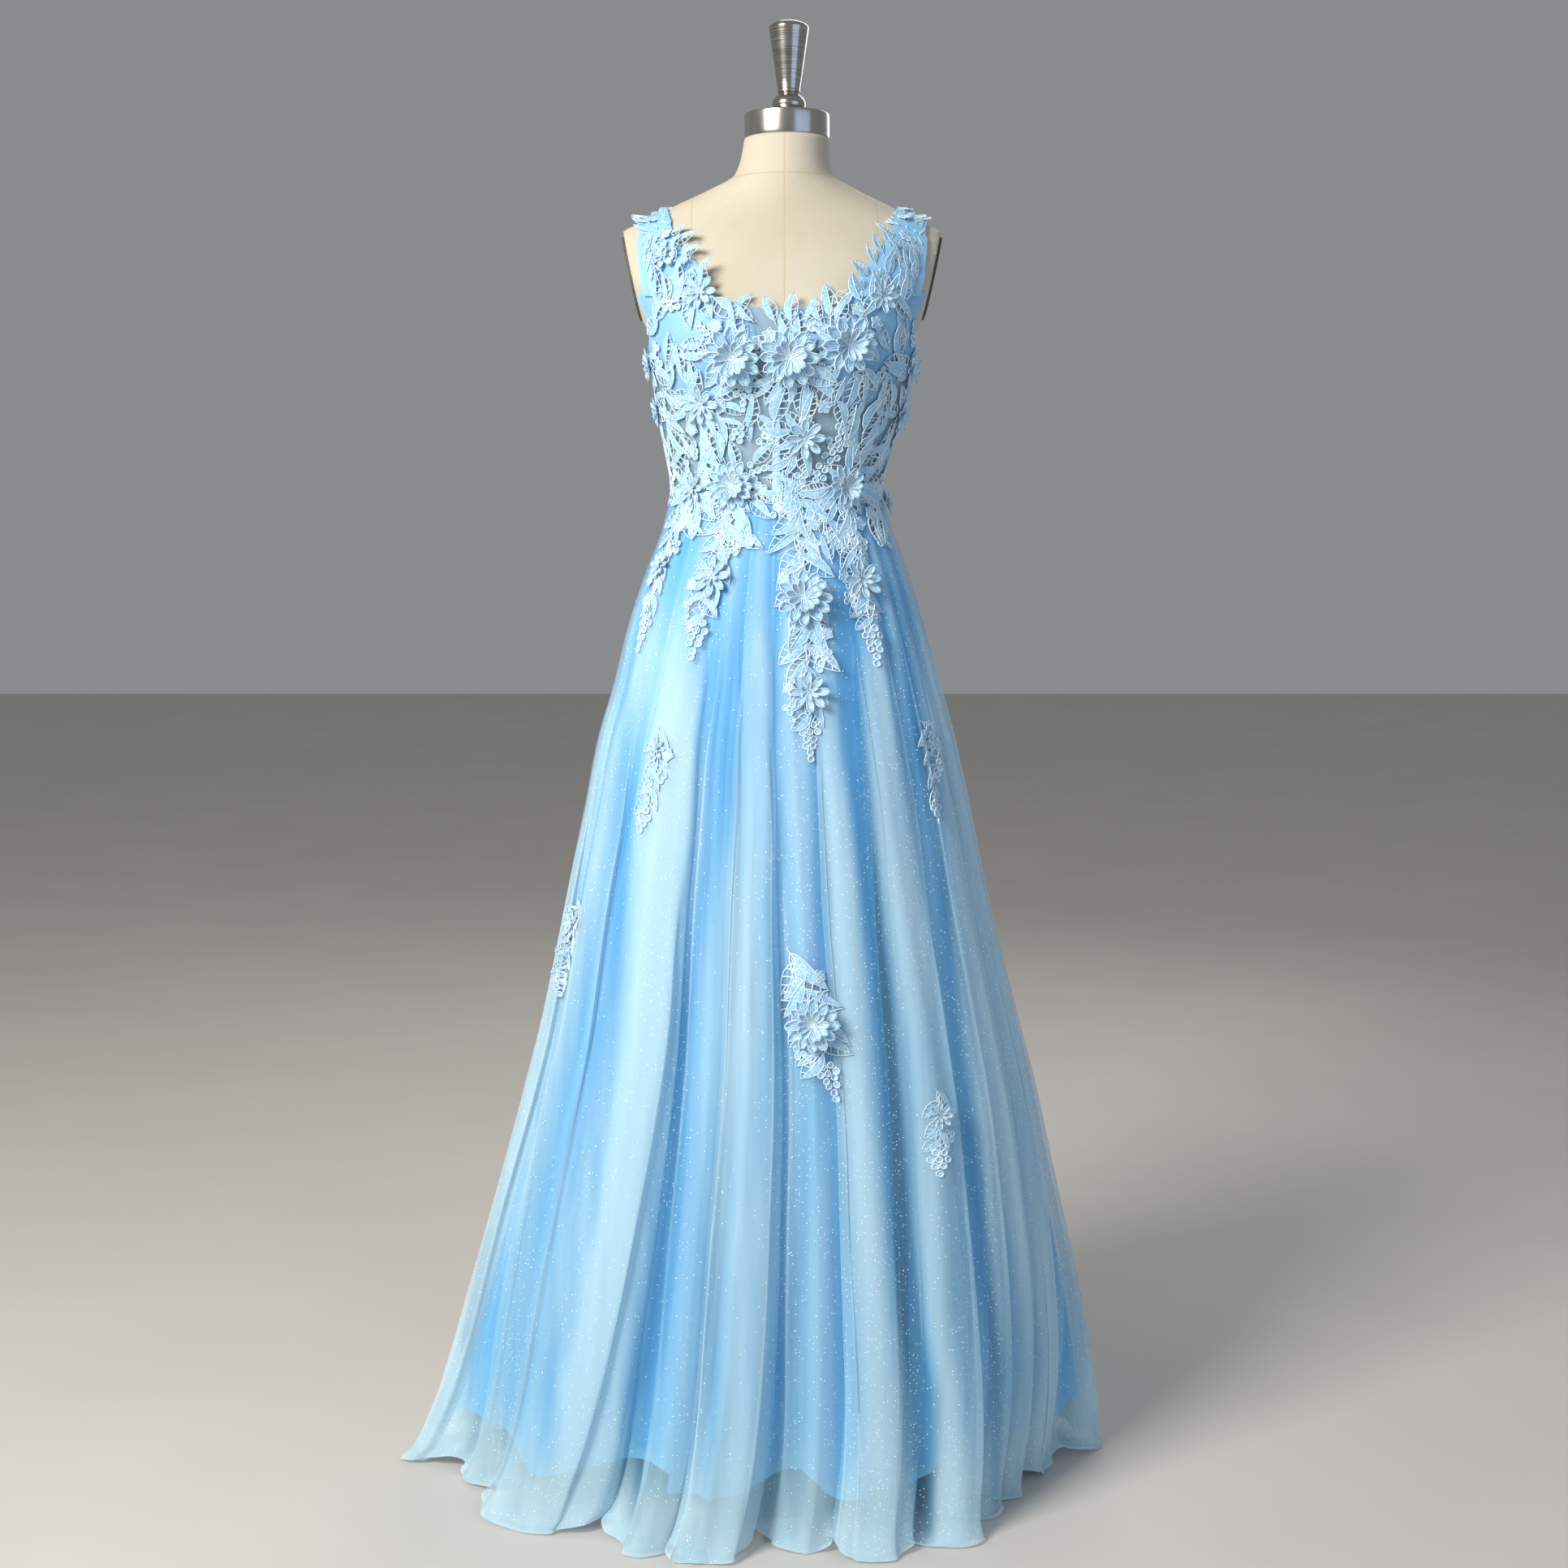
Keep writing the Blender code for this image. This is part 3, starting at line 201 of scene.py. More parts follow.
# Unbleached linen stretched over the form: plain weave with threads 0.6 mm apart, slubs and sunk seams.
def linenMaterial():
    material, shader = newMaterial("linen_woven", Roughness=0.85, Sheen_Weight=0.15)
    place = addNode(material, "ShaderNodeTexCoord").outputs["Object"]
    patch = addNode(material, "ShaderNodeTexNoise", inputs={"Vector": place, "Scale": 9.0, "Detail": 4.0})
    shade = addNode(material, "ShaderNodeValToRGB", inputs={"Fac": patch.outputs["Fac"]},
                    stops=[(0.3, "#C0B7A1"), (0.7, "#CCC5B3")])
    threads = []
    for scale in ((60.0, 60.0, 1700.0), (1700.0, 1700.0, 60.0)):
        drawn = addNode(material, "ShaderNodeMapping", inputs={"Vector": place, "Scale": scale})
        threads.append(addNode(material, "ShaderNodeTexNoise", inputs={
            "Vector": drawn.outputs["Vector"], "Scale": 1.0}).outputs["Fac"])
    weave = addNode(material, "ShaderNodeMath", {"operation": "ADD"}, {0: threads[0], 1: threads[1]})
    spot = addNode(material, "ShaderNodeSeparateXYZ", inputs={"Vector": place})
    left, right = formSeams["centre"] - formSeams["princess"], formSeams["centre"] + formSeams["princess"]
    lines = [("X", formSeams["centre"], formSeams["width"]), ("X", left, formSeams["width"]),
             ("X", right, formSeams["width"]), ("Z", formSeams["neck"], formSeams["neckWidth"])]
    seams = None
    for axis, middle, width in lines:
        line = addNode(material, "ShaderNodeMath", {"operation": "COMPARE"}, {
            0: spot.outputs[axis], 1: middle, 2: width}).outputs["Value"]
        seams = line if seams is None else addNode(
            material, "ShaderNodeMath", {"operation": "MAXIMUM"}, {0: seams, 1: line}).outputs["Value"]
    dark = addNode(material, "ShaderNodeMix", {"data_type": "RGBA"}, {
        "Factor": seams, "A": shade.outputs["Color"], "B": srgb("#BFB193")})
    height = addNode(material, "ShaderNodeMath", {"operation": "SUBTRACT"}, {
        0: weave.outputs["Value"], 1: seams})
    bump = addNode(material, "ShaderNodeBump", inputs={
        "Height": height.outputs["Value"], "Strength": 0.35, "Distance": 0.0005})
    linkTo(material, shader, Base_Color=dark.outputs[2], Normal=bump.outputs["Normal"])
    return material


# Stainless steel with a soft mirror light. grain is how many lines there are in a metre of height:
# a turned piece has fine ones round its axis, 0.4 mm apart, and a rolled one only broad soft bands.
def steelMaterial(name, colour, roughness, grain):
    material, shader = newMaterial(name, Metallic=1.0)
    place = addNode(material, "ShaderNodeTexCoord").outputs["Object"]
    lines = addNode(material, "ShaderNodeMapping", inputs={"Vector": place, "Scale": (30.0, 30.0, grain)})
    brush = addNode(material, "ShaderNodeTexNoise", inputs={
        "Vector": lines.outputs["Vector"], "Scale": 1.0, "Detail": 3.0})
    rough = addNode(material, "ShaderNodeMapRange", inputs={
        "Value": brush.outputs["Fac"], "To Min": roughness * 0.6, "To Max": roughness * 1.4})
    shade = addNode(material, "ShaderNodeValToRGB", inputs={"Fac": brush.outputs["Fac"]},
                    stops=[(0.3, colour), (0.7, "#D8D5CE")])
    bump = addNode(material, "ShaderNodeBump", inputs={
        "Height": brush.outputs["Fac"], "Strength": 0.05, "Distance": 0.0002})
    linkTo(material, shader, Base_Color=shade.outputs["Color"], Roughness=rough.outputs["Result"],
           Normal=bump.outputs["Normal"])
    return material


outerNet = netMaterial("tulle_glitter_knitted", 0.10, 0.62, "#C6EBFA", "#7FC8EF")
innerNet = netMaterial("tulle_under_layer_knitted", 0.09, 0.44, "#B6E3F7", "#78C3ED", 0.4)
bodiceNet = netMaterial("tulle_bodice_knitted", 0.30, 0.92, "#90C8EC", "#86B8DA", 0.8)
liningCloth = liningMaterial()
# Moulded foam cup covered in smooth knit: matt, even and light blue, with stitches 0.7 mm apart.
cupCloth = surfaceMaterial(
    "knit_cup_moulded", 18.0, [(0.3, "#A4D3EF"), (0.7, "#B9DFF4")], ("ShaderNodeTexVoronoi", "Distance", {}),
    1400.0, (0.15, 0.0003), Roughness=0.7, Sheen_Weight=0.4, Sheen_Roughness=0.5)
# Twisted rayon lace cord: near white with a silky light and a fine twist of 0.6 mm.
laceCord = surfaceMaterial(
    "lace_cord_twisted", 45.0, [(0.3, "#BFDFF1"), (0.7, "#E3F3FB")],
    ("ShaderNodeTexNoise", "Fac", {"Detail": 1.0}), 1600.0, (0.3, 0.0003),
    Roughness=0.42, Sheen_Weight=0.3, Sheen_Roughness=0.3)
laceFill = fillMaterial("lace_fill_embroidered", "#8AC3E8", "#B9DFF4")
petalFill = fillMaterial("organza_petal_cut", "#90C9EE", "#C4E5F7")
linen = linenMaterial()
capSteel = steelMaterial("steel_cap_brushed", "#A8A49C", 0.24, 4.0)
turnedSteel = steelMaterial("steel_finial_turned", "#8F8B84", 0.20, 2600.0)
# Powder-coated steel: dark grey with a fine orange-peel surface of 1.4 mm.
darkSteel = surfaceMaterial(
    "steel_powder_coated", 700.0, [(0.3, "#4A4846"), (0.7, "#5C5A57")],
    ("ShaderNodeTexNoise", "Fac", {"Detail": 2.0}), 700.0, (0.2, 0.0003), Roughness=0.5)
print("materials made")


# Pieces

# A bmesh as a piece that rides on the body and stands for these solids.
def finishPiece(name, shape, materials, replaces=()):
    mesh = bpy.data.meshes.new(name)
    for face in shape.faces:
        face.smooth = True
    shape.to_mesh(mesh)
    shape.free()
    for material in materials:
        mesh.materials.append(material)
    piece = bpy.data.objects.new(name, mesh)
    bpy.context.scene.collection.objects.link(piece)
    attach(piece, body)
    if replaces:
        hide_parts(*replaces)
    return piece


# A grid of cloth, each corner put by its share across and up. ridgeAt says how much it gathers there;
# on the skirt that value also paints its colour, as painted light and painted shade.
def clothGrid(across, up, placeAt, ridgeAt=None):
    shape = bmesh.new()
    bmesh.ops.create_grid(shape, x_segments=across, y_segments=up, size=0.5)
    ridge = shape.verts.layers.float.new("ridge") if ridgeAt else None
    for vert in shape.verts:
        u, v = vert.co.x + 0.5, vert.co.y + 0.5
        vert.co = placeAt(u, v)
        if ridge:
            vert[ridge] = ridgeAt(u, v, vert.co)
    return shape


# Merges the corners that meet where a round shape closes.
def weldRound(shape):
    bmesh.ops.remove_doubles(shape, verts=shape.verts, dist=0.00002)


# Turns the faces of a closed shape outwards.
def outward(shape):
    bmesh.ops.recalc_face_normals(shape, faces=shape.faces)
    if shape.calc_volume(signed=True) < 0.0:
        bmesh.ops.reverse_faces(shape, faces=shape.faces)


# A tree of these meshes, to find points on them by rays.
def treeOf(*meshes):
    shape = bmesh.new()
    for mesh in meshes:
        shape.from_mesh(mesh)
    tree = BVHTree.FromBMesh(shape)
    shape.free()
    return tree


# Tables, read smoothly between their rows

def lerp(a, b, share):
    return a + (b - a) * share


def clamp01(value):
    return min(1.0, max(0.0, value))


def smooth01(value):
    value = clamp01(value)
    return value * value * (3.0 - 2.0 * value)


# The column's value where the first column is at this, on a smooth curve through the rows.
def readTable(rows, at, column):
    if rows[0][0] > rows[-1][0]:
        rows = rows[::-1]
    if at <= rows[0][0]:
        return rows[0][column]
    if at >= rows[-1][0]:
        return rows[-1][column]
    for index in range(len(rows) - 1):
        low, high = rows[index], rows[index + 1]
        if at <= high[0]:
            break
    span = high[0] - low[0]
    share = (at - low[0]) / span
    rise = (high[column] - low[column]) / span

    def slope(place):
        if place <= 0 or place >= len(rows) - 1:
            return rise
        before, here, after = rows[place - 1], rows[place], rows[place + 1]
        one = (here[column] - before[column]) / (here[0] - before[0])
        two = (after[column] - here[column]) / (after[0] - here[0])
        return 0.0 if one * two <= 0.0 else 2.0 * one * two / (one + two)

    first, second = slope(index) * span, slope(index + 1) * span
    s2, s3 = share * share, share ** 3
    return ((2 * s3 - 3 * s2 + 1) * low[column] + (s3 - 2 * s2 + share) * first
            + (3 * s2 - 2 * s3) * high[column] + (s3 - s2) * second)


def signedPower(value, exponent):
    return math.copysign(abs(value) ** exponent, value)


# Halves low to high this many times, going up while the place found is still below.
def halve(low, high, rounds, isBelow):
    for _ in range(rounds):
        middle = 0.5 * (low + high)
        if isBelow(middle):
            low = middle
        else:
            high = middle
    return 0.5 * (low + high)


# The dress form

# height, centre, half width, depth in front, depth behind, squareness
torsoSections = [
    (1.5706, 0.0073, 0.0482, 0.0482, 0.0482, 2.0),
    (1.5480, 0.0058, 0.0510, 0.0520, 0.0510, 2.0),
    (1.5290, 0.0045, 0.0580, 0.0580, 0.0600, 2.0),
    (1.5140, 0.0030, 0.0850, 0.0600, 0.0680, 1.8),
    (1.4980, 0.0022, 0.1200, 0.0620, 0.0780, 1.7),
    (1.4830, 0.0018, 0.1500, 0.0640, 0.0860, 1.7),
    (1.4660, 0.0017, 0.1840, 0.0680, 0.0930, 1.8),
    (1.4450, 0.0017, 0.1920, 0.0760, 0.1000, 2.0),
    (1.4150, 0.0017, 0.1860, 0.0900, 0.1040, 2.2),
    (1.3850, 0.0015, 0.1700, 0.1020, 0.1050, 2.3),
    (1.3560, 0.0015, 0.1530, 0.1110, 0.1040, 2.3),
    (1.3300, 0.0024, 0.1485, 0.1130, 0.1010, 2.2),
    (1.3000, 0.0025, 0.1430, 0.1080, 0.0970, 2.2),
    (1.2600, 0.0000, 0.1340, 0.0980, 0.0900, 2.1),
    (1.2200, -0.0022, 0.1240, 0.0900, 0.0840, 2.1),
    (1.1880, -0.0040, 0.1170, 0.0860, 0.0810, 2.1),
    (1.1660, -0.0040, 0.1175, 0.0870, 0.0810, 2.1),
    (1.1250, -0.0040, 0.1240, 0.0920, 0.0880, 2.1),
    (1.0500, -0.0030, 0.1430, 0.1000, 0.1080, 2.1),
    (0.9500, -0.0020, 0.1580, 0.1040, 0.1220, 2.1),
    (0.8700, -0.0010, 0.1520, 0.0980, 0.1120, 2.1),
]
bust = {"height": 1.333, "apart": 0.074, "rise": 0.011, "spreadX": 0.042, "spreadZ": 0.045}
armhole = {"x": 0.1560, "z": 1.356, "lean": 0.217}
shoulderX = 0.0017    # middle of the shoulders


@functools.lru_cache(maxsize=None)
def torsoSection(z):
    return tuple(readTable(torsoSections, z, column) for column in range(1, 6))


# Point of the linen at this turn, counted from +X, and height.
def torsoSpot(turn, z):
    centre, half, front, back, square = torsoSection(z)
    c = signedPower(math.cos(turn), 2.0 / square)
    s = signedPower(math.sin(turn), 2.0 / square)
    x = centre + half * c
    y = (front if s < 0.0 else back) * s
    if s < 0.0:
        for side in (-1.0, 1.0):
            across = (x - centre - side * bust["apart"]) / bust["spreadX"]
            up = (z - bust["height"]) / bust["spreadZ"]
            y -= bust["rise"] * math.exp(-across * across - up * up) * abs(s)
    return Vector((x, y, z))


# The same point moved level out of the linen.
def torsoOff(turn, z, distance):
    along = torsoSpot(turn + 0.02, z) - torsoSpot(turn - 0.02, z)
    return torsoSpot(turn, z) + Vector((along.y, -along.x, 0.0)).normalized() * distance


# The linen body, cut flat at the armholes and closed at the neck and below.
def makeTorso():
    top, bottom = torsoSections[0][0], torsoSections[-1][0]
    shape = clothGrid(128, 150, lambda u, v: torsoSpot(fullTurn * u, lerp(bottom, top, v)))
    weldRound(shape)
    for side in (-1.0, 1.0):
        centre = Vector((shoulderX + side * armhole["x"], 0.0, armhole["z"]))
        normal = Vector((side, 0.0, -armhole["lean"])).normalized()
        above = [face for face in shape.faces if face.calc_center_median().z > armhole["z"]]
        edges = {edge for face in above for edge in face.edges}
        corners = {vert for face in above for vert in face.verts}
        upper = above + list(edges) + list(corners)
        cut = bmesh.ops.bisect_plane(
            shape, geom=upper, plane_co=centre, plane_no=normal, clear_outer=True)
        rim = [item for item in cut["geom_cut"] if isinstance(item, bmesh.types.BMEdge)]
        bmesh.ops.contextual_create(shape, geom=rim)
    openEdges = [edge for edge in shape.edges if edge.is_boundary]
    bmesh.ops.holes_fill(shape, edges=openEdges, sides=0)
    outward(shape)
    torso = finishPiece("linen_torso", shape, [linen], ["form_torso"])
    for polygon in torso.data.polygons:
        polygon.use_smooth = len(polygon.vertices) <= 5
    return torso


# A turned part: radius and height rows spun round the upright axis.
def spinProfile(name, profile, centre, material, replaces, steps=72):
    shape = bmesh.new()
    corners = [shape.verts.new((radius, 0.0, height)) for radius, height in profile]
    for one, two in zip(corners, corners[1:]):
        shape.edges.new((one, two))
    bmesh.ops.spin(shape, geom=shape.verts[:] + shape.edges[:], cent=(0, 0, 0), axis=(0, 0, 1),
                   angle=fullTurn, steps=steps, use_merge=True)
    weldRound(shape)
    bmesh.ops.translate(shape, verts=shape.verts, vec=(centre, 0.0, 0.0))
    outward(shape)
    return finishPiece(name, shape, [material], replaces)


# The profile with its rows joined by a smooth curve, sharp where a row says so.
def roundedProfile(rows, steps=5):
    out = []
    for index, row in enumerate(rows):
        if row[2] or index in (0, len(rows) - 1):
            out.append(row[:2])
            continue
        before, after = rows[index - 1], rows[index + 1]
        start = Vector(row[:2]).lerp(Vector(before[:2]), 0.5 if not before[2] else 0.6)
        end = Vector(row[:2]).lerp(Vector(after[:2]), 0.5 if not after[2] else 0.6)
        for step in range(steps + 1):
            t = step / steps
            spot = start * (1 - t) ** 2 + Vector(row[:2]) * 2 * t * (1 - t) + end * t * t
            out.append((spot.x, spot.y))
    return out


capX = 0.0073
finialX = 0.0095
# radius, height, sharp corner
capProfile = [
    (0.0, 1.5985, 1), (0.0470, 1.5985, 0), (0.0483, 1.5968, 0), (0.0483, 1.5722, 0), (0.0474, 1.5709, 1),
    (0.0, 1.5709, 1),
]
finialProfile = [
    (0.0, 1.7005, 1), (0.0110, 1.7000, 0), (0.0200, 1.6965, 0), (0.0228, 1.6935, 0), (0.0222, 1.6900, 0),
    (0.0175, 1.6580, 0), (0.0126, 1.6250, 1), (0.0129, 1.6236, 0), (0.0129, 1.6220, 0), (0.0104, 1.6200, 1),
    (0.0165, 1.6170, 0), (0.0197, 1.6095, 0), (0.0170, 1.6020, 0), (0.0135, 1.5989, 1), (0.0, 1.5989, 1),
]
torso = makeTorso()
spinProfile("steel_neck_cap", roundedProfile(capProfile), capX, capSteel, ["form_neck_cap"])
spinProfile("steel_finial", roundedProfile(finialProfile), finialX, turnedSteel, ["form_finial"])
for node, look in (("form_armhole_plate_left", darkSteel), ("form_armhole_plate_right", darkSteel),
                   ("form_base", darkSteel), ("form_pole", turnedSteel)):
    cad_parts[node].data.materials.clear()
    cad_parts[node].data.materials.append(look)
print("form made")


# The bodice

# distance from the centre line, height of the top edge
necklineFront = [
    (0.000, 1.3735), (0.050, 1.3770), (0.066, 1.3880), (0.080, 1.3950), (0.138, 1.3950), (0.146, 1.3560),
    (0.151, 1.3400),
]
necklineBack = [
    (0.000, 1.3300), (0.060, 1.3380), (0.100, 1.3640), (0.115, 1.3740), (0.136, 1.3700), (0.146, 1.3480),
    (0.151, 1.3400),
]
bodice = {
    "centre": 0.0015,
    "off": 0.0038,          # net off the linen
    "cupOff": 0.0022,
    "cupWall": 0.0010,
    "seam": 0.0016,         # half the gap between panels, in radians
    "channelOff": 0.0048,
    "channelWide": 0.009,
    "channelRise": 0.0012,
}


# Height of the net's top edge at this turn.
def topEdge(turn):
    spot = torsoSpot(turn, armhole["z"])
    return readTable(necklineFront if spot.y < 0.0 else necklineBack, abs(spot.x - bodice["centre"]), 1)


# The net is doubled beside and above the cups and on the straps, and single over the ribs.
def doubled(u, v, spot):
    return 0.40 + 0.90 * smooth01((abs(spot.x) - 0.062) / 0.030) * smooth01((spot.z - 1.295) / 0.045)


# A panel of the bodice from one turn to another, waist to top edge.
def bodicePanel(name, start, end, across, replaces):
    shape = clothGrid(across, 40, lambda u, v: torsoOff(
        lerp(start, end, u), lerp(waist, topEdge(lerp(start, end, u)), v), bodice["off"]), doubled)
    piece = finishPiece(name, shape, [bodiceNet], replaces)
    return piece


gap = bodice["seam"]
quarter = 0.5 * math.pi
bodicePanel("bodice_net_front", math.pi + gap, fullTurn - gap, 128, ["bodice_front"])
bodicePanel("bodice_net_back_right", gap, quarter - gap, 64, ["bodice_back_right"])
bodicePanel("bodice_net_back_left", quarter + gap, math.pi - gap, 64,
            ["bodice_back_left"])

# turn from straight ahead in degrees, height of the bottom edge, height of the top edge
cupEdges = [
    (9, 1.294, 1.362), (18, 1.276, 1.365), (27, 1.269, 1.363), (36, 1.268, 1.361), (45, 1.272, 1.360),
    (54, 1.282, 1.359), (63, 1.294, 1.358),
]


def makeCup(name, side, replaces):
    def spot(u, v):
        degrees = lerp(cupEdges[0][0], cupEdges[-1][0], u)
        z = lerp(readTable(cupEdges, degrees, 1), readTable(cupEdges, degrees, 2), v)
        return torsoOff(1.5 * math.pi + side * math.radians(degrees), z, bodice["cupOff"])

    shape = clothGrid(40, 26, spot)
    if side < 0.0:
        bmesh.ops.reverse_faces(shape, faces=shape.faces)
    bmesh.ops.solidify(shape, geom=shape.faces[:], thickness=bodice["cupWall"])
    return finishPiece(name, shape, [cupCloth], replaces)


makeCup("cup_cloth_left", -1.0, ["cup_left"])
makeCup("cup_cloth_right", 1.0, ["cup_right"])

# x, top, bottom
channels = {
    "left": (-0.0830, 1.262, 1.176),
    "centre": (-0.0045, 1.268, 1.170),
    "right": (0.0800, 1.262, 1.206),
}


# A strip of tape over a bone, raised along its middle.
def makeChannel(side, x, top, bottom):
    def spot(u, v):
        z = lerp(bottom, top, v)
        wanted = x + (u - 0.5) * bodice["channelWide"]
        turn = halve(math.pi, fullTurn, 24, lambda middle: torsoSpot(middle, z).x < wanted)
        return torsoOff(turn, z, bodice["channelOff"] + bodice["channelRise"] * math.sin(math.pi * u))

    shape = clothGrid(8, 30, spot)
    finishPiece("boning_tape_" + side, shape, [cupCloth], ["boning_channel_" + side])


for side, row in channels.items():
    makeChannel(side, *row)

# The straps: turn round the shoulder from straight ahead, inner edge, outer edge
strapSections = [
    (-7.0, 0.074, 0.150), (10.0, 0.084, 0.154), (25.0, 0.100, 0.157), (45.0, 0.117, 0.160),
    (65.0, 0.126, 0.162), (90.0, 0.131, 0.166), (115.0, 0.131, 0.165), (135.0, 0.129, 0.162),
    (155.0, 0.122, 0.160), (170.0, 0.112, 0.157), (190.0, 0.104, 0.150),
]
strap = {"pivot": 1.398, "offEnds": 0.0071, "offTop": 0.0039}
torsoTree = treeOf(torso.data)


# Point of a strap at this turn round the shoulder, and the way out of it.
def strapSpot(side, degrees, x, lift=0.0):
    turn = math.radians(degrees)
    way = Vector((0.0, -math.cos(turn), math.sin(turn)))
    pivot = Vector((x, 0.0, strap["pivot"]))
    spot = torsoTree.ray_cast(pivot + way * 0.5, -way)[0] or pivot + way * 0.06
    splay = (x / 0.15) * max(0.0, math.cos(turn)) if turn < 1.0 else 0.0
    out = (way + Vector((splay, 0.0, 0.0))).normalized()
    rise = smooth01(math.sin(math.pi * clamp01(degrees / 180.0)) * 1.6)
    return spot + out * (lerp(strap["offEnds"], strap["offTop"], rise) + lift), out


def makeStrap(name, side, replaces):
    def spot(u, v):
        degrees = lerp(strapSections[0][0], strapSections[-1][0], v)
        reach = lerp(readTable(strapSections, degrees, 1), readTable(strapSections, degrees, 2), u)
        return strapSpot(side, degrees, shoulderX + side * reach)[0]

    shape = clothGrid(14, 90, spot, doubled)
    if side < 0.0:
        bmesh.ops.reverse_faces(shape, faces=shape.faces)
    piece = finishPiece(name, shape, [bodiceNet], replaces)
    return piece.data


strapMeshes = [
    makeStrap("strap_net_left", -1.0, ["strap_left"]),
    makeStrap("strap_net_right", 1.0, ["strap_right"]),
]
print("bodice made")


# The skirt

# height, left edge, right edge, depth in front, depth behind
skirtSections = [
    (1.1280, -0.1390, 0.1310, 0.1030, 0.0980), (1.0800, -0.1590, 0.1500, 0.1220, 0.1220),
    (1.0120, -0.1820, 0.1720, 0.1420, 0.1480), (0.9540, -0.1970, 0.1880, 0.1540, 0.1680),
    (0.8880, -0.2170, 0.2060, 0.1650, 0.1870), (0.8120, -0.2320, 0.2240, 0.1760, 0.2050),
    (0.7220, -0.2520, 0.2440, 0.1870, 0.2230), (0.5560, -0.2850, 0.2860, 0.2060, 0.2530),
    (0.4730, -0.3070, 0.3080, 0.2140, 0.2670), (0.3800, -0.3330, 0.3290, 0.2220, 0.2810),
    (0.2360, -0.3740, 0.3620, 0.2330, 0.3020), (0.1490, -0.4000, 0.3800, 0.2400, 0.3150),
    (0.0600, -0.4320, 0.3930, 0.2500, 0.3270), (0.0000, -0.4670, 0.3990, 0.2620, 0.3350),
]
# x near the hip, x and y of the lobe on the floor, depth of the valley after it, and its lap:
# above 0 this ridge hangs over the valley, below 0 the next one does, and past 1 the edge is crisp
frontFolds = [
    (-0.182, -0.467, 0.007, 0.028, 0.3), (-0.158, -0.386, -0.045, 0.030, -0.9),
    (-0.104, -0.3135, -0.177, 0.062, 1.6), (-0.058, -0.162, -0.248, 0.028, -2.4),
    (-0.026, -0.100, -0.264, 0.046, 1.5), (0.012, 0.0275, -0.240, 0.022, -1.9),
    (0.061, 0.1000, -0.257, 0.038, 2.4), (0.112, 0.195, -0.2235, 0.046, 2.2),
    (0.136, 0.236, -0.155, 0.032, 1.8), (0.152, 0.276, -0.100, 0.030, -1.3),
    (0.166, 0.3226, -0.018, 0.024, 1.2), (0.176, 0.399, 0.0435, 0.024, 0.3),
]
# turn at the hip, turn at the hem, reach of the lobe, depth of the valley, lap
backFolds = [
    (22.0, 27.0, 0.99, 0.034, -0.8), (44.0, 46.0, 1.02, 0.028, 1.6), (63.0, 63.0, 0.98, 0.044, -1.9),
    (82.0, 80.0, 1.01, 0.030, 0.9), (101.0, 98.0, 1.00, 0.048, 2.1), (119.0, 116.0, 0.98, 0.028, -1.3),
    (138.0, 134.0, 1.02, 0.038, 1.7), (158.0, 152.0, 0.99, 0.030, 0.5),
]
skirt = {
    "hip": 1.0,
    "liningHem": 0.062,
    "liningGap": 0.0025,
    "liningTop": 1.1655,
    "netGrid": (50, 90),         # columns per fold, rows
    "underGrid": (25, 45),
    "liningGrid": (18, 70),
    "underGap": 0.0055,          # under layer inside the outer one
    "trim": 0.008,               # share of a fold left between two panels at a side seam
    "floorGap": 0.0012,
    "ripple": 0.0050,            # height of the small gathers between the main folds
    "hemArch": 0.014,
    "puddle": 0.050,             # height below which the tulle turns out along the floor
    "spread": 0.012,
}
netOff = 0.0063    # tulle off the linen at the waist


# Centre x, half width, depth in front and depth behind at this height.
@functools.lru_cache(maxsize=None)
def skirtShape(z):
    share = clamp01((z - skirtSections[0][0]) / (waist - skirtSections[0][0]))
    left, right, front, back = (readTable(skirtSections, z, column) for column in (1, 2, 3, 4))
    _, centre, half, ahead, behind, _ = [section for section in torsoSections if section[0] == waist][0]
    return (lerp(0.5 * (left + right), centre, share), lerp(0.5 * (right - left), half + netOff, share),
            lerp(front, ahead + netOff, share), lerp(back, behind + netOff, share))


# Every ridge round the skirt: turn at the hip, turn and reach at the hem, valley and lap after it.
def foldTable():
    hipCentre, hipHalf, _, _ = skirtShape(skirt["hip"])
    hemCentre, hemHalf, hemFront, hemBack = skirtShape(0.0)
    ridges = []
    for xHip, xHem, yHem, valley, lap in frontFolds:
        hip = -math.acos(max(-1.0, min(1.0, (xHip - hipCentre) / (hipHalf * 1.002))))
        across = (xHem - hemCentre) / hemHalf
        ahead = yHem / (hemFront if yHem < 0.0 else hemBack)
        hem = math.atan2(ahead, across)
        if hem > 0.5 * math.pi:
            hem -= fullTurn
        ridges.append((hip, hem, math.hypot(across, ahead), valley, lap))
    for hipTurn, hemTurn, reach, valley, lap in backFolds:
        ridges.append((math.radians(hipTurn), math.radians(hemTurn), reach, valley, lap))
    return ridges


ridges = foldTable()
frontCount = len(frontFolds)


# How deep in the valley the cloth is, leaning towards the side that lies underneath.
def valleyDip(share, lap):
    lean = 1.0 + 0.45 * min(1.0, abs(lap))
    near = share if lap >= 0.0 else 1.0 - share
    return max(0.0, math.sin(math.pi * near ** lean)) ** 1.4


# Small uneven gathers from 0 to 1, that fade in and out on the way down.
def softCreases(turn, z, phase):
    one = math.sin(turn * 29.0 + phase + 1.1 * math.sin(z * 3.1 + turn * 5.0))
    two = math.sin(turn * 46.7 + 2.3 * phase + 0.9 * math.sin(z * 5.3 - turn * 3.0))
    three = math.sin(turn * 13.1 + 4.0 * math.sin(z * 1.7 + phase))
    return clamp01(0.35 + 0.38 * one * (0.5 + 0.5 * three) + 0.27 * two * (0.5 - 0.5 * three))


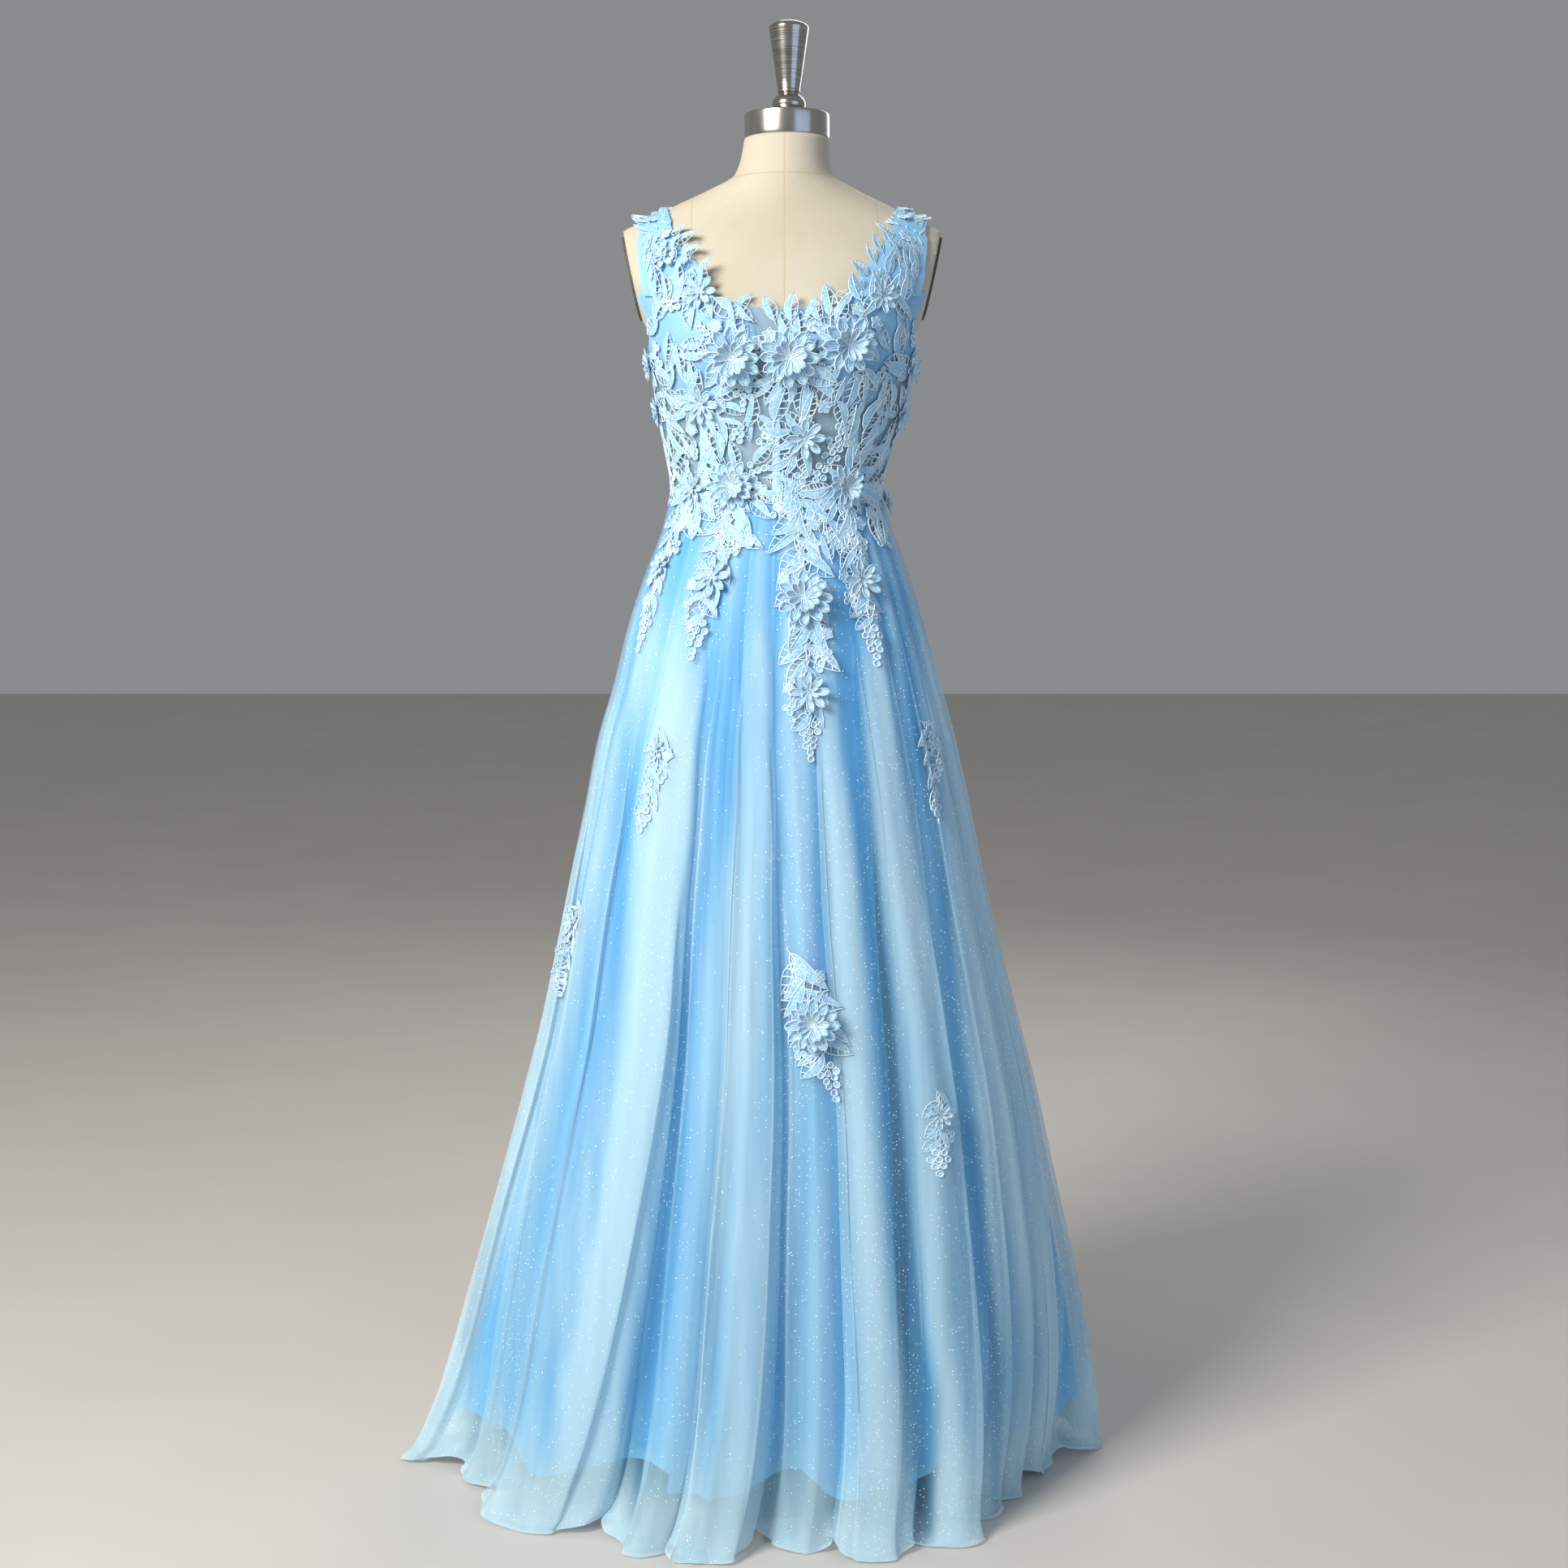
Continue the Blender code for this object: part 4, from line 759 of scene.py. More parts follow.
# One or two narrow pleats on each fold: where along it, its width, how fast and from where it wanders,
# and the height it starts below.
def pleatTable(rng):
    table = []
    for _ in ridges:
        places = (0.20, 0.84) if rng.random() < 0.55 else (rng.choice((0.17, 0.80)),)
        table.append([(place + rng.uniform(-0.07, 0.07), rng.uniform(0.045, 0.085), rng.uniform(2.0, 4.5),
                       rng.uniform(0.0, 6.0), rng.uniform(0.75, 1.12)) for place in places])
    return table


pleats = pleatTable(random.Random(12))


# Sideways shift, step inward and density of the narrow pleats of one fold at this place.
def pleatTerms(share, z, index):
    shift, step, dense = 0.0, 0.0, 0.0
    for middle, wide, speed, phase, top in pleats[index]:
        grow = smooth01((top - z) / 0.20) * (1.0 - 0.4 * smooth01((0.12 - z) / 0.12))
        t = (share - middle - 0.035 * math.sin(speed * z + phase)) / wide
        bell = math.exp(-t * t)
        shift -= 2.6 * wide * grow * t * bell
        step += 0.0030 * grow * (0.5 + 0.5 * math.tanh(2.5 * t)) * math.exp(-max(0.0, t) ** 2 / 9.0)
        dense = max(dense, 0.85 * grow * math.exp(-((abs(t) - 0.52) / 0.30) ** 2), 0.55 * grow * bell)
    return shift, step, dense


# Laps start below the waist and open a little towards the hem.
def lapGrowth(z):
    return smooth01((waist - z) / 0.39) * (1.0 - 0.35 * smooth01((0.35 - z) / 0.35))


# Point of the folded cloth, counted in folds from the left side seam, at this height.
def foldSpot(along, z, sink, wave, inset, lapping, ripple, phase):
    ridge = math.floor(along)
    share = along - ridge
    this = ridges[ridge % len(ridges)]
    following = ridges[(ridge + 1) % len(ridges)]
    fall = clamp01((skirt["hip"] - z) / skirt["hip"])
    low = lerp(this[0], this[1], fall) + (ridge // len(ridges)) * fullTurn
    high = lerp(following[0], following[1], fall) + ((ridge + 1) // len(ridges)) * fullTurn
    grow = clamp01((waist - z) / waist)
    lap = lapping * this[4] * lapGrowth(z)
    shift, step, _ = pleatTerms(share, z, ridge % len(ridges)) if lapping else (0.0, 0.0, 0.0)
    turn = lerp(low, high, share + lapping * shift + abs(lap) * math.sin(fullTurn * share) / fullTurn)
    reach = lerp(1.0, lerp(this[2], following[2], smooth01(share)), fall ** 3)
    depth = 0.0006 * clamp01((waist - z) / 0.03) + this[3] * grow ** 1.10
    small = softCreases(turn, z, phase)
    centre, half, front, back = skirtShape(z)
    deep = front if math.sin(turn) < 0.0 else back
    flat = Vector((half * math.cos(turn), deep * math.sin(turn), 0.0)) * reach
    inward = inset + lapping * step + depth * (sink + wave * valleyDip(share, lap))
    inward += ripple * small * smooth01(grow * 8.0) * (0.5 + grow)
    flat *= (flat.length - inward) / flat.length
    return Vector((centre + flat.x, flat.y, z))


# Tulle: up 0 is the hem, where it turns out and lies on the floor in small waves.
def netSpot(along, up, inset, phase, lapping):
    z = waist * up
    hem = smooth01((skirt["puddle"] - z) / skirt["puddle"])
    spot = foldSpot(along, max(z, 0.25 * skirt["puddle"]), 0.0, 1.0, inset, lapping, skirt["ripple"], phase)
    share = along - math.floor(along)
    centre = skirtShape(0.0)[0]
    flat = Vector((spot.x - centre, spot.y, 0.0))
    out = flat.normalized()
    wave = math.sin(along * 17.0 + phase) * 0.5 + math.sin(along * 7.3 + 1.0 + phase) * 0.5
    spot += out * hem * (skirt["spread"] * (0.55 + 0.45 * wave) - 0.008 * (1.0 - hem))
    spot.z = z * (1.0 - 0.75 * hem) + skirt["hemArch"] * math.sin(math.pi * share) ** 2 * hem
    spot.z += 0.006 * (0.5 + 0.5 * wave) * hem * (1.0 - 0.6 * hem)
    spot.z = max(spot.z, skirt["floorGap"] + 0.4 * inset)
    return spot


# x of each streak down the front, painted light and painted shade in turn from the left side to the right
streakPlaces = [
    # height, left edge, gap, broad fold, valley, middle fold, gap, fold, valley, fold, valley, right edge
    (0.17, -0.394, -0.258, -0.209, -0.156, -0.030, -0.005, 0.109, 0.160, 0.186, 0.250, 0.330),
    (0.28, -0.352, -0.231, -0.196, -0.134, -0.027, 0.016, 0.102, 0.142, 0.168, 0.232, 0.305),
    (0.47, -0.295, -0.196, -0.169, -0.112, -0.043, 0.034, 0.085, 0.123, 0.156, 0.211, 0.262),
    (0.65, -0.257, -0.182, -0.143, -0.097, -0.062, 0.043, 0.076, 0.105, 0.140, 0.190, 0.240),
    (0.83, -0.219, -0.176, -0.130, -0.068, -0.035, 0.043, 0.061, 0.087, 0.114, 0.164, 0.208),
    (1.00, -0.170, -0.176, -0.128, -0.054, -0.020, 0.045, 0.034, 0.070, 0.100, 0.140, 0.176),
]
# half width of each, and how much denser the tulle hangs and lighter it is painted there, or thinner and
# painted darker below 0
streakKindsAndPaintedLight = [(0.026, 0.45), (0.012, -0.24), (0.032, 0.75), (0.017, -0.42), (0.028, 0.26), (0.015, -0.15),
               (0.020, 0.55), (0.014, -0.80), (0.017, 0.50), (0.012, -0.48), (0.032, 0.60)]


@functools.lru_cache(maxsize=None)
def streaksAt(z):
    return [readTable(streakPlaces, z, column + 1) for column in range(len(streakKindsAndPaintedLight))]


# How much denser the tulle hangs at this place of the front, where it is doubled or thin, and how much
# lighter or darker its colour and the crepe's are painted there, as painted light and shade.
def streakDensityAndPaintedLight(spot):
    if spot.y > 0.0:
        return 0.0
    total = sum(amount * math.exp(-((spot.x - x) / wide) ** 2)
                for x, (wide, amount) in zip(streaksAt(round(spot.z, 3)), streakKindsAndPaintedLight))
    return total * smooth01((1.13 - spot.z) / 0.20)


# How dense the tulle looks: most at a fold's turned edge, more on a ridge, least in a valley.
# The same value paints the colour of the tulle and crepe: painted light on ridges, turned edges,
# the hem and light streaks, and painted shade in valleys and dark streaks.
def gatheredAndPaintedLight(along, up, spot):
    share = along - math.floor(along)
    lap = ridges[math.floor(along) % len(ridges)][4] * lapGrowth(waist * up)
    near = share if lap >= 0.0 else 1.0 - share
    if abs(lap) > 1.05:
        edge, wide, strong = math.acos(-1.0 / abs(lap)) / fullTurn, 0.030, 1.0
    else:
        edge, wide, strong = 0.42, 0.09, 0.45
    line = strong * math.exp(-((near - edge) / wide) ** 2)
    ridge = 0.72 * (1.0 - valleyDip(share, lap)) ** 0.8
    pleat = pleatTerms(share, waist * up, math.floor(along) % len(ridges))[2]
    hem = 0.45 * smooth01((0.14 - up) / 0.12) + 0.9 * smooth01((0.008 - up) / 0.006)
    folded = max(ridge, line, 0.25 + pleat if pleat > 0.05 else 0.0)
    return max(0.0, min(1.5, 0.75 * folded + 0.12 + streakDensityAndPaintedLight(spot) + hem))


# Crepe: it ends above the floor in a slight wave, and its folds are shallower.
def liningSpot(along, up):
    hem = skirt["liningHem"] + 0.009 * math.sin(along * 2.9) + 0.006 * math.sin(along * 5.3 + 1.0)
    z = lerp(hem, skirt["liningTop"], up)
    return foldSpot(along, z, 0.96, 0.24, skirt["liningGap"], 0.0, 0.0, 0.0)


def outerSpot(along, up):
    return netSpot(along, up, 0.0, 0.0, 1.0)


def innerSpot(along, up):
    return netSpot(along, up, skirt["underGap"], 2.1, 0.6)


# One half of a layer, from one ridge to another and just short of the next panel.
def skirtPanel(name, placeAt, half, grid, material, replaces):
    first, last = {"front": (0, frontCount - 1), "back": (frontCount - 1, len(ridges))}[half]
    start, run = first + skirt["trim"], last - first - 2.0 * skirt["trim"]
    shape = clothGrid(
        round((last - first) * grid[0]), grid[1], lambda u, v: placeAt(start + u * run, v),
        lambda u, v, spot: gatheredAndPaintedLight(start + u * run, v, spot))
    piece = finishPiece(name + half, shape, [material], replaces)
    return piece.data


netMeshes = [
    skirtPanel("skirt_tulle_", outerSpot, half, skirt["netGrid"], outerNet,
               ["skirt_net_" + half])
    for half in ("front", "back")]
for half in ("front", "back"):
    skirtPanel("skirt_under_tulle_", innerSpot, half, skirt["underGrid"], innerNet,
               [])
for half in ("front", "back"):
    skirtPanel("skirt_crepe_", liningSpot, half, skirt["liningGrid"], liningCloth,
               ["skirt_lining_" + half])
print("skirt made")


# Lace motifs, each made once at unit size: y runs from the root to the tip

# Ends a bmesh as a mesh.
def meshOf(shape):
    mesh = bpy.data.meshes.new("motif")
    shape.to_mesh(mesh)
    shape.free()
    return mesh


# Round cords along these paths, as one mesh. A path is its points and whether it closes.
def cordMesh(paths, radius):
    curve = bpy.data.curves.new("cord", "CURVE")
    curve.dimensions = "3D"
    curve.bevel_depth = radius
    curve.bevel_resolution = 0
    curve.use_fill_caps = True
    for points, closed in paths:
        spline = curve.splines.new("POLY")
        spline.points.add(len(points) - 1)
        for target, point in zip(spline.points, points):
            target.co = (point[0], point[1], point[2], 1.0)
        spline.use_cyclic_u = closed
    holder = bpy.data.objects.new("cord", curve)
    bpy.context.scene.collection.objects.link(holder)
    mesh = bpy.data.meshes.new_from_object(holder)
    bpy.data.objects.remove(holder, do_unlink=True)
    return mesh


# One motif: cords in the first material, the cloth between them in the second.
def motif(cords, fill):
    shape = bmesh.new()
    shape.from_mesh(cords)
    start = len(shape.faces)
    shape.from_mesh(fill)
    shape.faces.ensure_lookup_table()
    for face in shape.faces[start:]:
        face.material_index = 1
    return meshOf(shape)


# Half width of a leaf at this share of its length.
def leafHalf(at, width):
    return 0.5 * width * math.sin(math.pi * at ** 0.85) ** 0.9 if 0.0 < at < 1.0 else 0.0


# A pointed leaf: corded edge and vein, one half filled and the other crossed by rungs.
def leafMotif(width, bend, rungs, cord):
    def spine(at):
        return bend * math.sin(math.pi * at) * 0.5

    stops = [0.0, 0.12, 0.32, 0.56, 0.80]
    edge = [(spine(at) - leafHalf(at, width), at, 0.0) for at in stops] + [(spine(1.0), 1.0, 0.0)]
    edge += [(spine(at) + leafHalf(at, width), at, 0.0) for at in stops[:0:-1]]
    vein = [(spine(at), at, cord * 0.6) for at in (-0.12, 0.40, 0.90)]
    paths = [(edge, True), (vein, False)]
    for step in range(rungs):
        at = lerp(0.16, 0.76, step / max(1, rungs - 1))
        reach = leafHalf(at + 0.08, width)
        paths.append(([(spine(at), at, cord * 0.3), (spine(at) + reach, at + 0.08, 0.0)], False))

    def fillSpot(u, v):
        x = spine(v) - leafHalf(v, width) * (1.0 - u)
        return Vector((x, v, -cord * 0.4 + 0.03 * math.sin(math.pi * u)))

    return motif(cordMesh(paths, cord), meshOf(clothGrid(2, 4, fillSpot)))


# Half width of a petal: it widens from its root and rounds off at its tip.
def petalHalf(at, width):
    opening = 0.30 + 0.70 * math.sin(0.5 * math.pi * at)
    rounding = math.sqrt(max(0.0, 1.0 - max(0.0, (at - 0.62) / 0.38) ** 2))
    return 0.5 * width * opening * rounding


# A rounded petal, cupped across and curled up along, with a corded edge and three ribs.
def petalMotif(width, cup, lift, cord):
    def height(at):
        return lift * at ** 1.6

    stops = [0.0, 0.35, 0.68, 0.90]
    edge = [(-petalHalf(at, width), at, height(at) + cup) for at in stops]
    edge += [(0.0, 1.02, height(1.0) + 0.3 * cup)]
    edge += [(petalHalf(at, width), at, height(at) + cup) for at in stops[::-1]]
    ribs = [[(side * petalHalf(at, width), at, height(at) + cup * side * side + cord * 0.5)
             for at in (0.15, 0.78 - 0.2 * abs(side))] for side in (-0.45, 0.0, 0.45)]

    def fillSpot(u, v):
        side = 2.0 * u - 1.0
        return Vector((side * petalHalf(v, width), v, height(v) + cup * side * side))

    paths = [(edge, False)] + [(rib, False) for rib in ribs]
    return motif(cordMesh(paths, cord), meshOf(clothGrid(4, 4, fillSpot)))


# A small ring with a filled middle.
def berryMotif():
    turns = [fullTurn * step / 7 for step in range(7)]
    ring = [(0.40 * math.cos(turn), 0.40 * math.sin(turn), 0.06) for turn in turns]
    disc = bmesh.new()
    bmesh.ops.create_circle(disc, cap_ends=True, cap_tris=True, segments=7, radius=0.34)
    return motif(cordMesh([(ring, True)], 0.11), meshOf(disc))


# A five-petal starflower of looped cord.
def starMotif():
    corners = ((0, 0), (0.62, 1.0), (1.0, 0), (0.62, -1.0))    # share along the petal, share of its width
    paths = []
    for petal in range(5):
        turn = fullTurn * petal / 5
        way = Vector((math.cos(turn), math.sin(turn), 0.0))
        side = Vector((-math.sin(turn), math.cos(turn), 0.0))
        loop = [way * (0.08 + 0.42 * along) + side * 0.17 * wide for along, wide in corners]
        paths.append((loop, True))
    disc = bmesh.new()
    bmesh.ops.create_circle(disc, cap_ends=True, cap_tris=True, segments=10, radius=0.40)
    for vert in disc.verts:
        vert.co.z = 0.02
    return motif(cordMesh(paths, 0.055), meshOf(disc))


# The raised middle of a flower: a ring of beads round a dome.
def bossMotif():
    shape = bmesh.new()
    bmesh.ops.create_uvsphere(shape, u_segments=10, v_segments=6, radius=0.55)
    bmesh.ops.scale(shape, vec=(1.0, 1.0, 0.6), verts=shape.verts)
    beads = bmesh.new()
    for step in range(9):
        turn = fullTurn * step / 9
        place = Matrix.Translation((0.85 * math.cos(turn), 0.85 * math.sin(turn), 0.05))
        bmesh.ops.create_icosphere(beads, subdivisions=1, radius=0.24, matrix=place)
    return motif(meshOf(beads), meshOf(shape))


# width, bend and cord as shares of the leaf's length
leaves = [leafMotif(width, bend, 4, cord) for width, bend, cord in (
    (0.46, 0.10, 0.018), (0.46, -0.10, 0.018), (0.38, 0.16, 0.018), (0.52, 0.0, 0.017))]
outerPetal = petalMotif(0.40, 0.06, 0.10, 0.024)
innerPetal = petalMotif(0.42, 0.10, 0.34, 0.028)
berry = berryMotif()
star = starMotif()
boss = bossMotif()
print("motifs made")


# Where lace lies: on the bodice and skirt by turn and height, on the straps by turn round the shoulder

support = clothGrid(160, 60, lambda u, v: torsoOff(fullTurn * u, lerp(waist - 0.002, 1.44, v), 0.0050))
laceTree = treeOf(meshOf(support), *netMeshes)
strapTree = treeOf(*strapMeshes)


def centreAt(z):
    return skirtShape(z)[0] if z < waist else torsoSection(z)[0]


# Point of the gown and the way out of it. Turn 0 is straight ahead and grows to the right.
def gownSpot(turn, z):
    way = Vector((math.sin(turn), -math.cos(turn), 0.0))
    spot = laceTree.ray_cast(Vector((centreAt(z), 0.0, z)) + way, -way)[0]
    return spot, way


def radiusAt(turn, z):
    spot, _ = gownSpot(turn, z)
    return max(0.06, Vector((spot.x, spot.y)).length)


# Lays a motif on the gown: its root at this turn and height, its tip this many degrees from upright.
def layOn(shape, source, turn, z, angle, size, lift):
    start = len(shape.verts)
    shape.from_mesh(source)
    shape.verts.ensure_lookup_table()
    radius = radiusAt(turn, z)
    c, s = math.cos(math.radians(angle)), math.sin(math.radians(angle))
    for vert in shape.verts[start:]:
        x, y, h = vert.co * size
        across = x * c + y * s
        up = y * c - x * s
        spot, way = gownSpot(turn + across / radius, z + up)    # each corner follows the cloth
        vert.co = spot + way * (lift + h)


# Lays a stiff motif square to this direction, tilted up from its root.
def layFlat(shape, source, spot, out, angle, size, lift, tilt=0.0):
    start = len(shape.verts)
    shape.from_mesh(source)
    shape.verts.ensure_lookup_table()
    aside = Vector((0, 0, 1)).cross(out)
    aside = aside.normalized() if aside.length > 0.1 else Vector((1, 0, 0))
    above = out.cross(aside)
    turn = math.radians(angle)
    along = aside * math.sin(turn) + above * math.cos(turn)
    across = along.cross(out)
    for vert in shape.verts[start:]:
        x, y, h = vert.co * size
        forward = y * math.cos(tilt) - h * math.sin(tilt)
        raised = lift + h * math.cos(tilt) + y * math.sin(tilt)
        vert.co = spot + across * x + along * forward + out * raised


petals = {
    "bigFrom": 0.024,             # radius from which a flower has its full count
    "big": (12, 11),              # outer and inner
    "small": (8, 6),
    "outerTilt": (0.02, 0.16),    # radians up from the root
    "bigTilt": (0.12, 0.30),
    "smallTilt": (0.10, 0.25),
    "boss": 0.13,                 # share of the radius
}


# Two layers of cupped petals round a beaded boss. A small flower has fewer and flatter ones.
def makeFlower(name, spot, out, radius, replaces, seed):
    rng = random.Random(seed)
    shape = bmesh.new()
    big = radius > petals["bigFrom"]
    outer, inner = petals["big" if big else "small"]
    for step in range(outer):
        angle = 360.0 * step / outer + rng.uniform(-4, 4)
        size = radius * rng.uniform(0.93, 1.04)
        lift = 0.0012 + 0.0006 * (step % 2)
        layFlat(shape, outerPetal, spot, out, angle, size, lift, rng.uniform(*petals["outerTilt"]))
    for step in range(inner):
        if big:
            angle = 360.0 * (step + 0.5) / inner + rng.uniform(-4, 4)
            size = radius * 0.66 * rng.uniform(0.95, 1.05)
            layFlat(shape, innerPetal, spot, out, angle, size, 0.0032, rng.uniform(*petals["bigTilt"]))
        else:
            angle = 360.0 * step / inner + rng.uniform(-5, 5)
            tilt = rng.uniform(*petals["smallTilt"])
            layFlat(shape, innerPetal, spot, out, angle, radius * 0.5, 0.0030, tilt)
    layFlat(shape, boss, spot, out, 0.0, radius * petals["boss"], 0.0048)
    finishPiece(name, shape, [laceCord, petalFill], replaces)


# name, side it is seen from, distance across, height, radius
flowers = [
    ("bust_left", "front", -0.053, 1.3190, 0.0335), ("bust_centre", "front", 0.0095, 1.3190, 0.0335),
    ("bust_right", "front", 0.0740, 1.3320, 0.0325), ("neck_left", "front", -0.0890, 1.3905, 0.0205),
    ("strap_left", "front", -0.1300, 1.4330, 0.0190), ("neck_right", "front", 0.1120, 1.3870, 0.0195),
    ("side_left", "front", -0.0880, 1.2700, 0.0235), ("ribs_centre", "front", 0.0270, 1.2320, 0.0235),
    ("waist_left", "front", -0.0540, 1.1800, 0.0280), ("waist_right", "front", 0.0730, 1.1790, 0.0248),
    ("waist_outer_left", "front", -0.0985, 1.1770, 0.0205),
    ("underarm_left", "left", -0.0200, 1.3180, 0.0190),
    ("ribs_left", "left", -0.0150, 1.2650, 0.0180), ("underarm_right", "right", -0.0400, 1.3100, 0.0205),
    ("ribs_right", "right", -0.0250, 1.2620, 0.0210), ("waist_side_right", "right", -0.0100, 1.1620, 0.0165),
    ("back_left", "back", 0.0680, 1.3050, 0.0270), ("back_right", "back", -0.0680, 1.3050, 0.0270),
    ("back_waist_left", "back", 0.0480, 1.1960, 0.0250),
    ("back_waist_right", "back", -0.0480, 1.1960, 0.0250),
]
sideWays = {
    "front": Vector((0, -1, 0)), "back": Vector((0, 1, 0)),
    "left": Vector((-1, 0, 0)), "right": Vector((1, 0, 0)),
}


# The outermost cloth seen straight from one side, and the evened way out of it.
def seenSpot(side, across, z):
    way = sideWays[side]
    aside = Vector((1, 0, 0)) if side in ("front", "back") else Vector((0, 1, 0))
    spots = []
    for da, dz in ((0, 0), (0.008, 0), (-0.008, 0), (0, 0.008), (0, -0.008)):
        start = aside * (across + da) + Vector((0, 0, z + dz)) + way
        hits = [tree.ray_cast(start, -way)[0] for tree in (laceTree, strapTree)]
        hits = [hit for hit in hits if hit]
        spots.append(max(hits, key=lambda hit: hit.dot(way)) if hits else None)
    centre = spots[0]
    right, left, above, below = [spot or centre for spot in spots[1:]]
    out = (right - left).cross(above - below).normalized()
    if out.dot(way) < 0.0:
        out = -out
    return centre, out


def turnOf(spot):
    return math.atan2(spot.x - centreAt(spot.z), -spot.y)


flowerSpots = []
for index, (name, side, across, z, radius) in enumerate(flowers):
    spot, out = seenSpot(side, across, z)
    makeFlower("flower_cloth_" + name, spot, out, radius, ["flower_" + name], 40 + index)
    flowerSpots.append((spot, radius))
print("flowers made")


# Lace on the bodice: leaves round each flower, berries between them, and strays to fill the sides

# A bunch of berries that narrows towards its tip.
def berries(shape, turn, z, angle, count, size, rng, lift=0.0008):
    c, s = math.cos(math.radians(angle)), math.sin(math.radians(angle))
    radius = radiusAt(turn, z)
    placed = 0
    row = 0
    while placed < count:
        wide = max(1, min(3, (count - placed + 1) // 2, 2 + row % 2))
        for item in range(wide):
            if placed >= count:
                break
            x = (item - 0.5 * (wide - 1)) * size * 0.95 + rng.uniform(-0.1, 0.1) * size
            y = row * size * 0.85 + rng.uniform(-0.1, 0.1) * size
            layOn(shape, berry, turn + (x * c + y * s) / radius, z + y * c - x * s, 0.0, size, lift)
            placed += 1
        row += 1


laceRng = random.Random(7)
laceFront = bmesh.new()
laceBack = bmesh.new()


def panelAt(turn):
    return laceFront if abs(turn) < 0.5 * math.pi else laceBack


# middle x and height, half width and half height of each place on the front left sheer
windows = [
    (-0.028, 1.353, 0.0150, 0.0170), (-0.019, 1.258, 0.0080, 0.0110), (-0.030, 1.226, 0.0110, 0.0140),
    (-0.014, 1.196, 0.0140, 0.0160), (0.0485, 1.228, 0.0110, 0.0140), (0.0440, 1.203, 0.0090, 0.0100),
    (0.009, 1.266, 0.0065, 0.0140), (0.023, 1.177, 0.0090, 0.0090), (-0.118, 1.350, 0.0130, 0.0190),
    (-0.092, 1.356, 0.0110, 0.0130), (0.121, 1.364, 0.0120, 0.0170), (0.112, 1.322, 0.0120, 0.0160),
]
filling = {
    "cell": 0.0185,             # one motif in each cell of this size
    "leaf": (0.0290, 0.0410),
    "berry": 0.0084,
    "star": 0.0165,
    "top": 1.400,
    "under": 0.009,             # how far below the net's top edge it stops
    "over": 0.010,              # how far it runs on over that edge at the straps
    "straps": (0.084, 0.138),   # x where they join
    "neck": 1.357,              # root of the leaves over the neckline
}


def leftSheer(spot):
    return spot.y < 0.0 and any(
        ((spot.x - x) / wide) ** 2 + ((spot.z - z) / tall) ** 2 < 1.0 for x, z, wide, tall in windows)


# One leaf, berry bunch or starflower at this place, growing out from the nearest flower.
def layFilling(turn, z):
    rng = laceRng
    spot, _ = gownSpot(turn, z)
    around = radiusAt(turn, z)
    nearest = min(flowerSpots, key=lambda flower: (flower[0] - spot).length)
    away = (spot - nearest[0]).length
    if leftSheer(spot) or away < nearest[1] * 0.55:
        return
    middle = turnOf(nearest[0])
    angle = math.degrees(math.atan2((turn - middle) * around, z - nearest[0].z))
    if away > 1.9 * nearest[1]:
        angle = rng.choice((0.0, 180.0)) + rng.uniform(-50, 50)
    angle += rng.uniform(-24, 24)
    kind = rng.random()
    lift = rng.uniform(0.0005, 0.0022)
    if kind < 0.70:
        size = rng.uniform(*filling["leaf"])
        leaf = rng.choice(leaves)
        rootTurn = turn - 0.45 * size * math.sin(math.radians(angle)) / around
        rootZ = z - 0.45 * size * math.cos(math.radians(angle))
        layOn(panelAt(turn), leaf, rootTurn, rootZ, angle, size, lift)
    elif kind < 0.88:
        berries(panelAt(turn), turn, z, angle, rng.randint(4, 7), filling["berry"], rng)
    else:
        layOn(panelAt(turn), star, turn, z, rng.uniform(0, 72), filling["star"], lift + 0.0006)


# turn at the waist, half width and depth of the lace that runs on below it
laceHems = [
    (-0.95, 0.26, 0.045), (-0.42, 0.30, 0.050), (0.20, 0.22, 0.040), (0.60, 0.28, 0.050),
    (1.15, 0.22, 0.040), (2.60, 0.30, 0.045), (-2.60, 0.30, 0.045),
]
cell = filling["cell"]
for middle, wide, deep in laceHems:
    for row in range(round(deep / cell) + 1):
        z = waist + 0.004 - row * cell
        share = 1.0 - 0.5 * row * cell / deep
        for _ in range(round(2.0 * wide * share * 0.13 / cell) + 1):
            turn = middle + wide * share * laceRng.uniform(-1.0, 1.0)
            layFilling(turn, z + laceRng.uniform(-0.4, 0.4) * cell)
for row in range(round((filling["top"] - waist) / cell) + 1):
    z = waist + 0.006 + row * cell
    around = 0.5 * (radiusAt(0.0, z) + radiusAt(0.5 * math.pi, z))
    columns = round(fullTurn * around / cell)
    for column in range(columns):
        turn = fullTurn * (column + 0.5 * (row % 2) + laceRng.uniform(-0.3, 0.3)) / columns - math.pi
        place = z + laceRng.uniform(-0.3, 0.3) * cell
        onStrap = filling["straps"][0] < abs(gownSpot(turn, place)[0].x) < filling["straps"][1]
        if place < topEdge(turn - 0.5 * math.pi) + (filling["over"] if onStrap else -filling["under"]):
            layFilling(turn, place)

# leaves that stand over the neckline: x, degrees from upright and length
neckLeaves = [
    (-0.050, -14, 0.028), (-0.031, -36, 0.025), (-0.006, -24, 0.031), (0.012, 6, 0.034),
    (0.028, 26, 0.029), (0.044, -14, 0.030), (0.060, 28, 0.029),
]
for index, (x, angle, size) in enumerate(neckLeaves):
    spot, out = seenSpot("front", x, filling["neck"])
    layFlat(laceFront, leaves[index % 2], spot, out, angle, size, 0.0030)
finishPiece("lace_bodice_front", laceFront, [laceCord, laceFill])
finishPiece("lace_bodice_back", laceBack, [laceCord, laceFill])
print("bodice lace made")

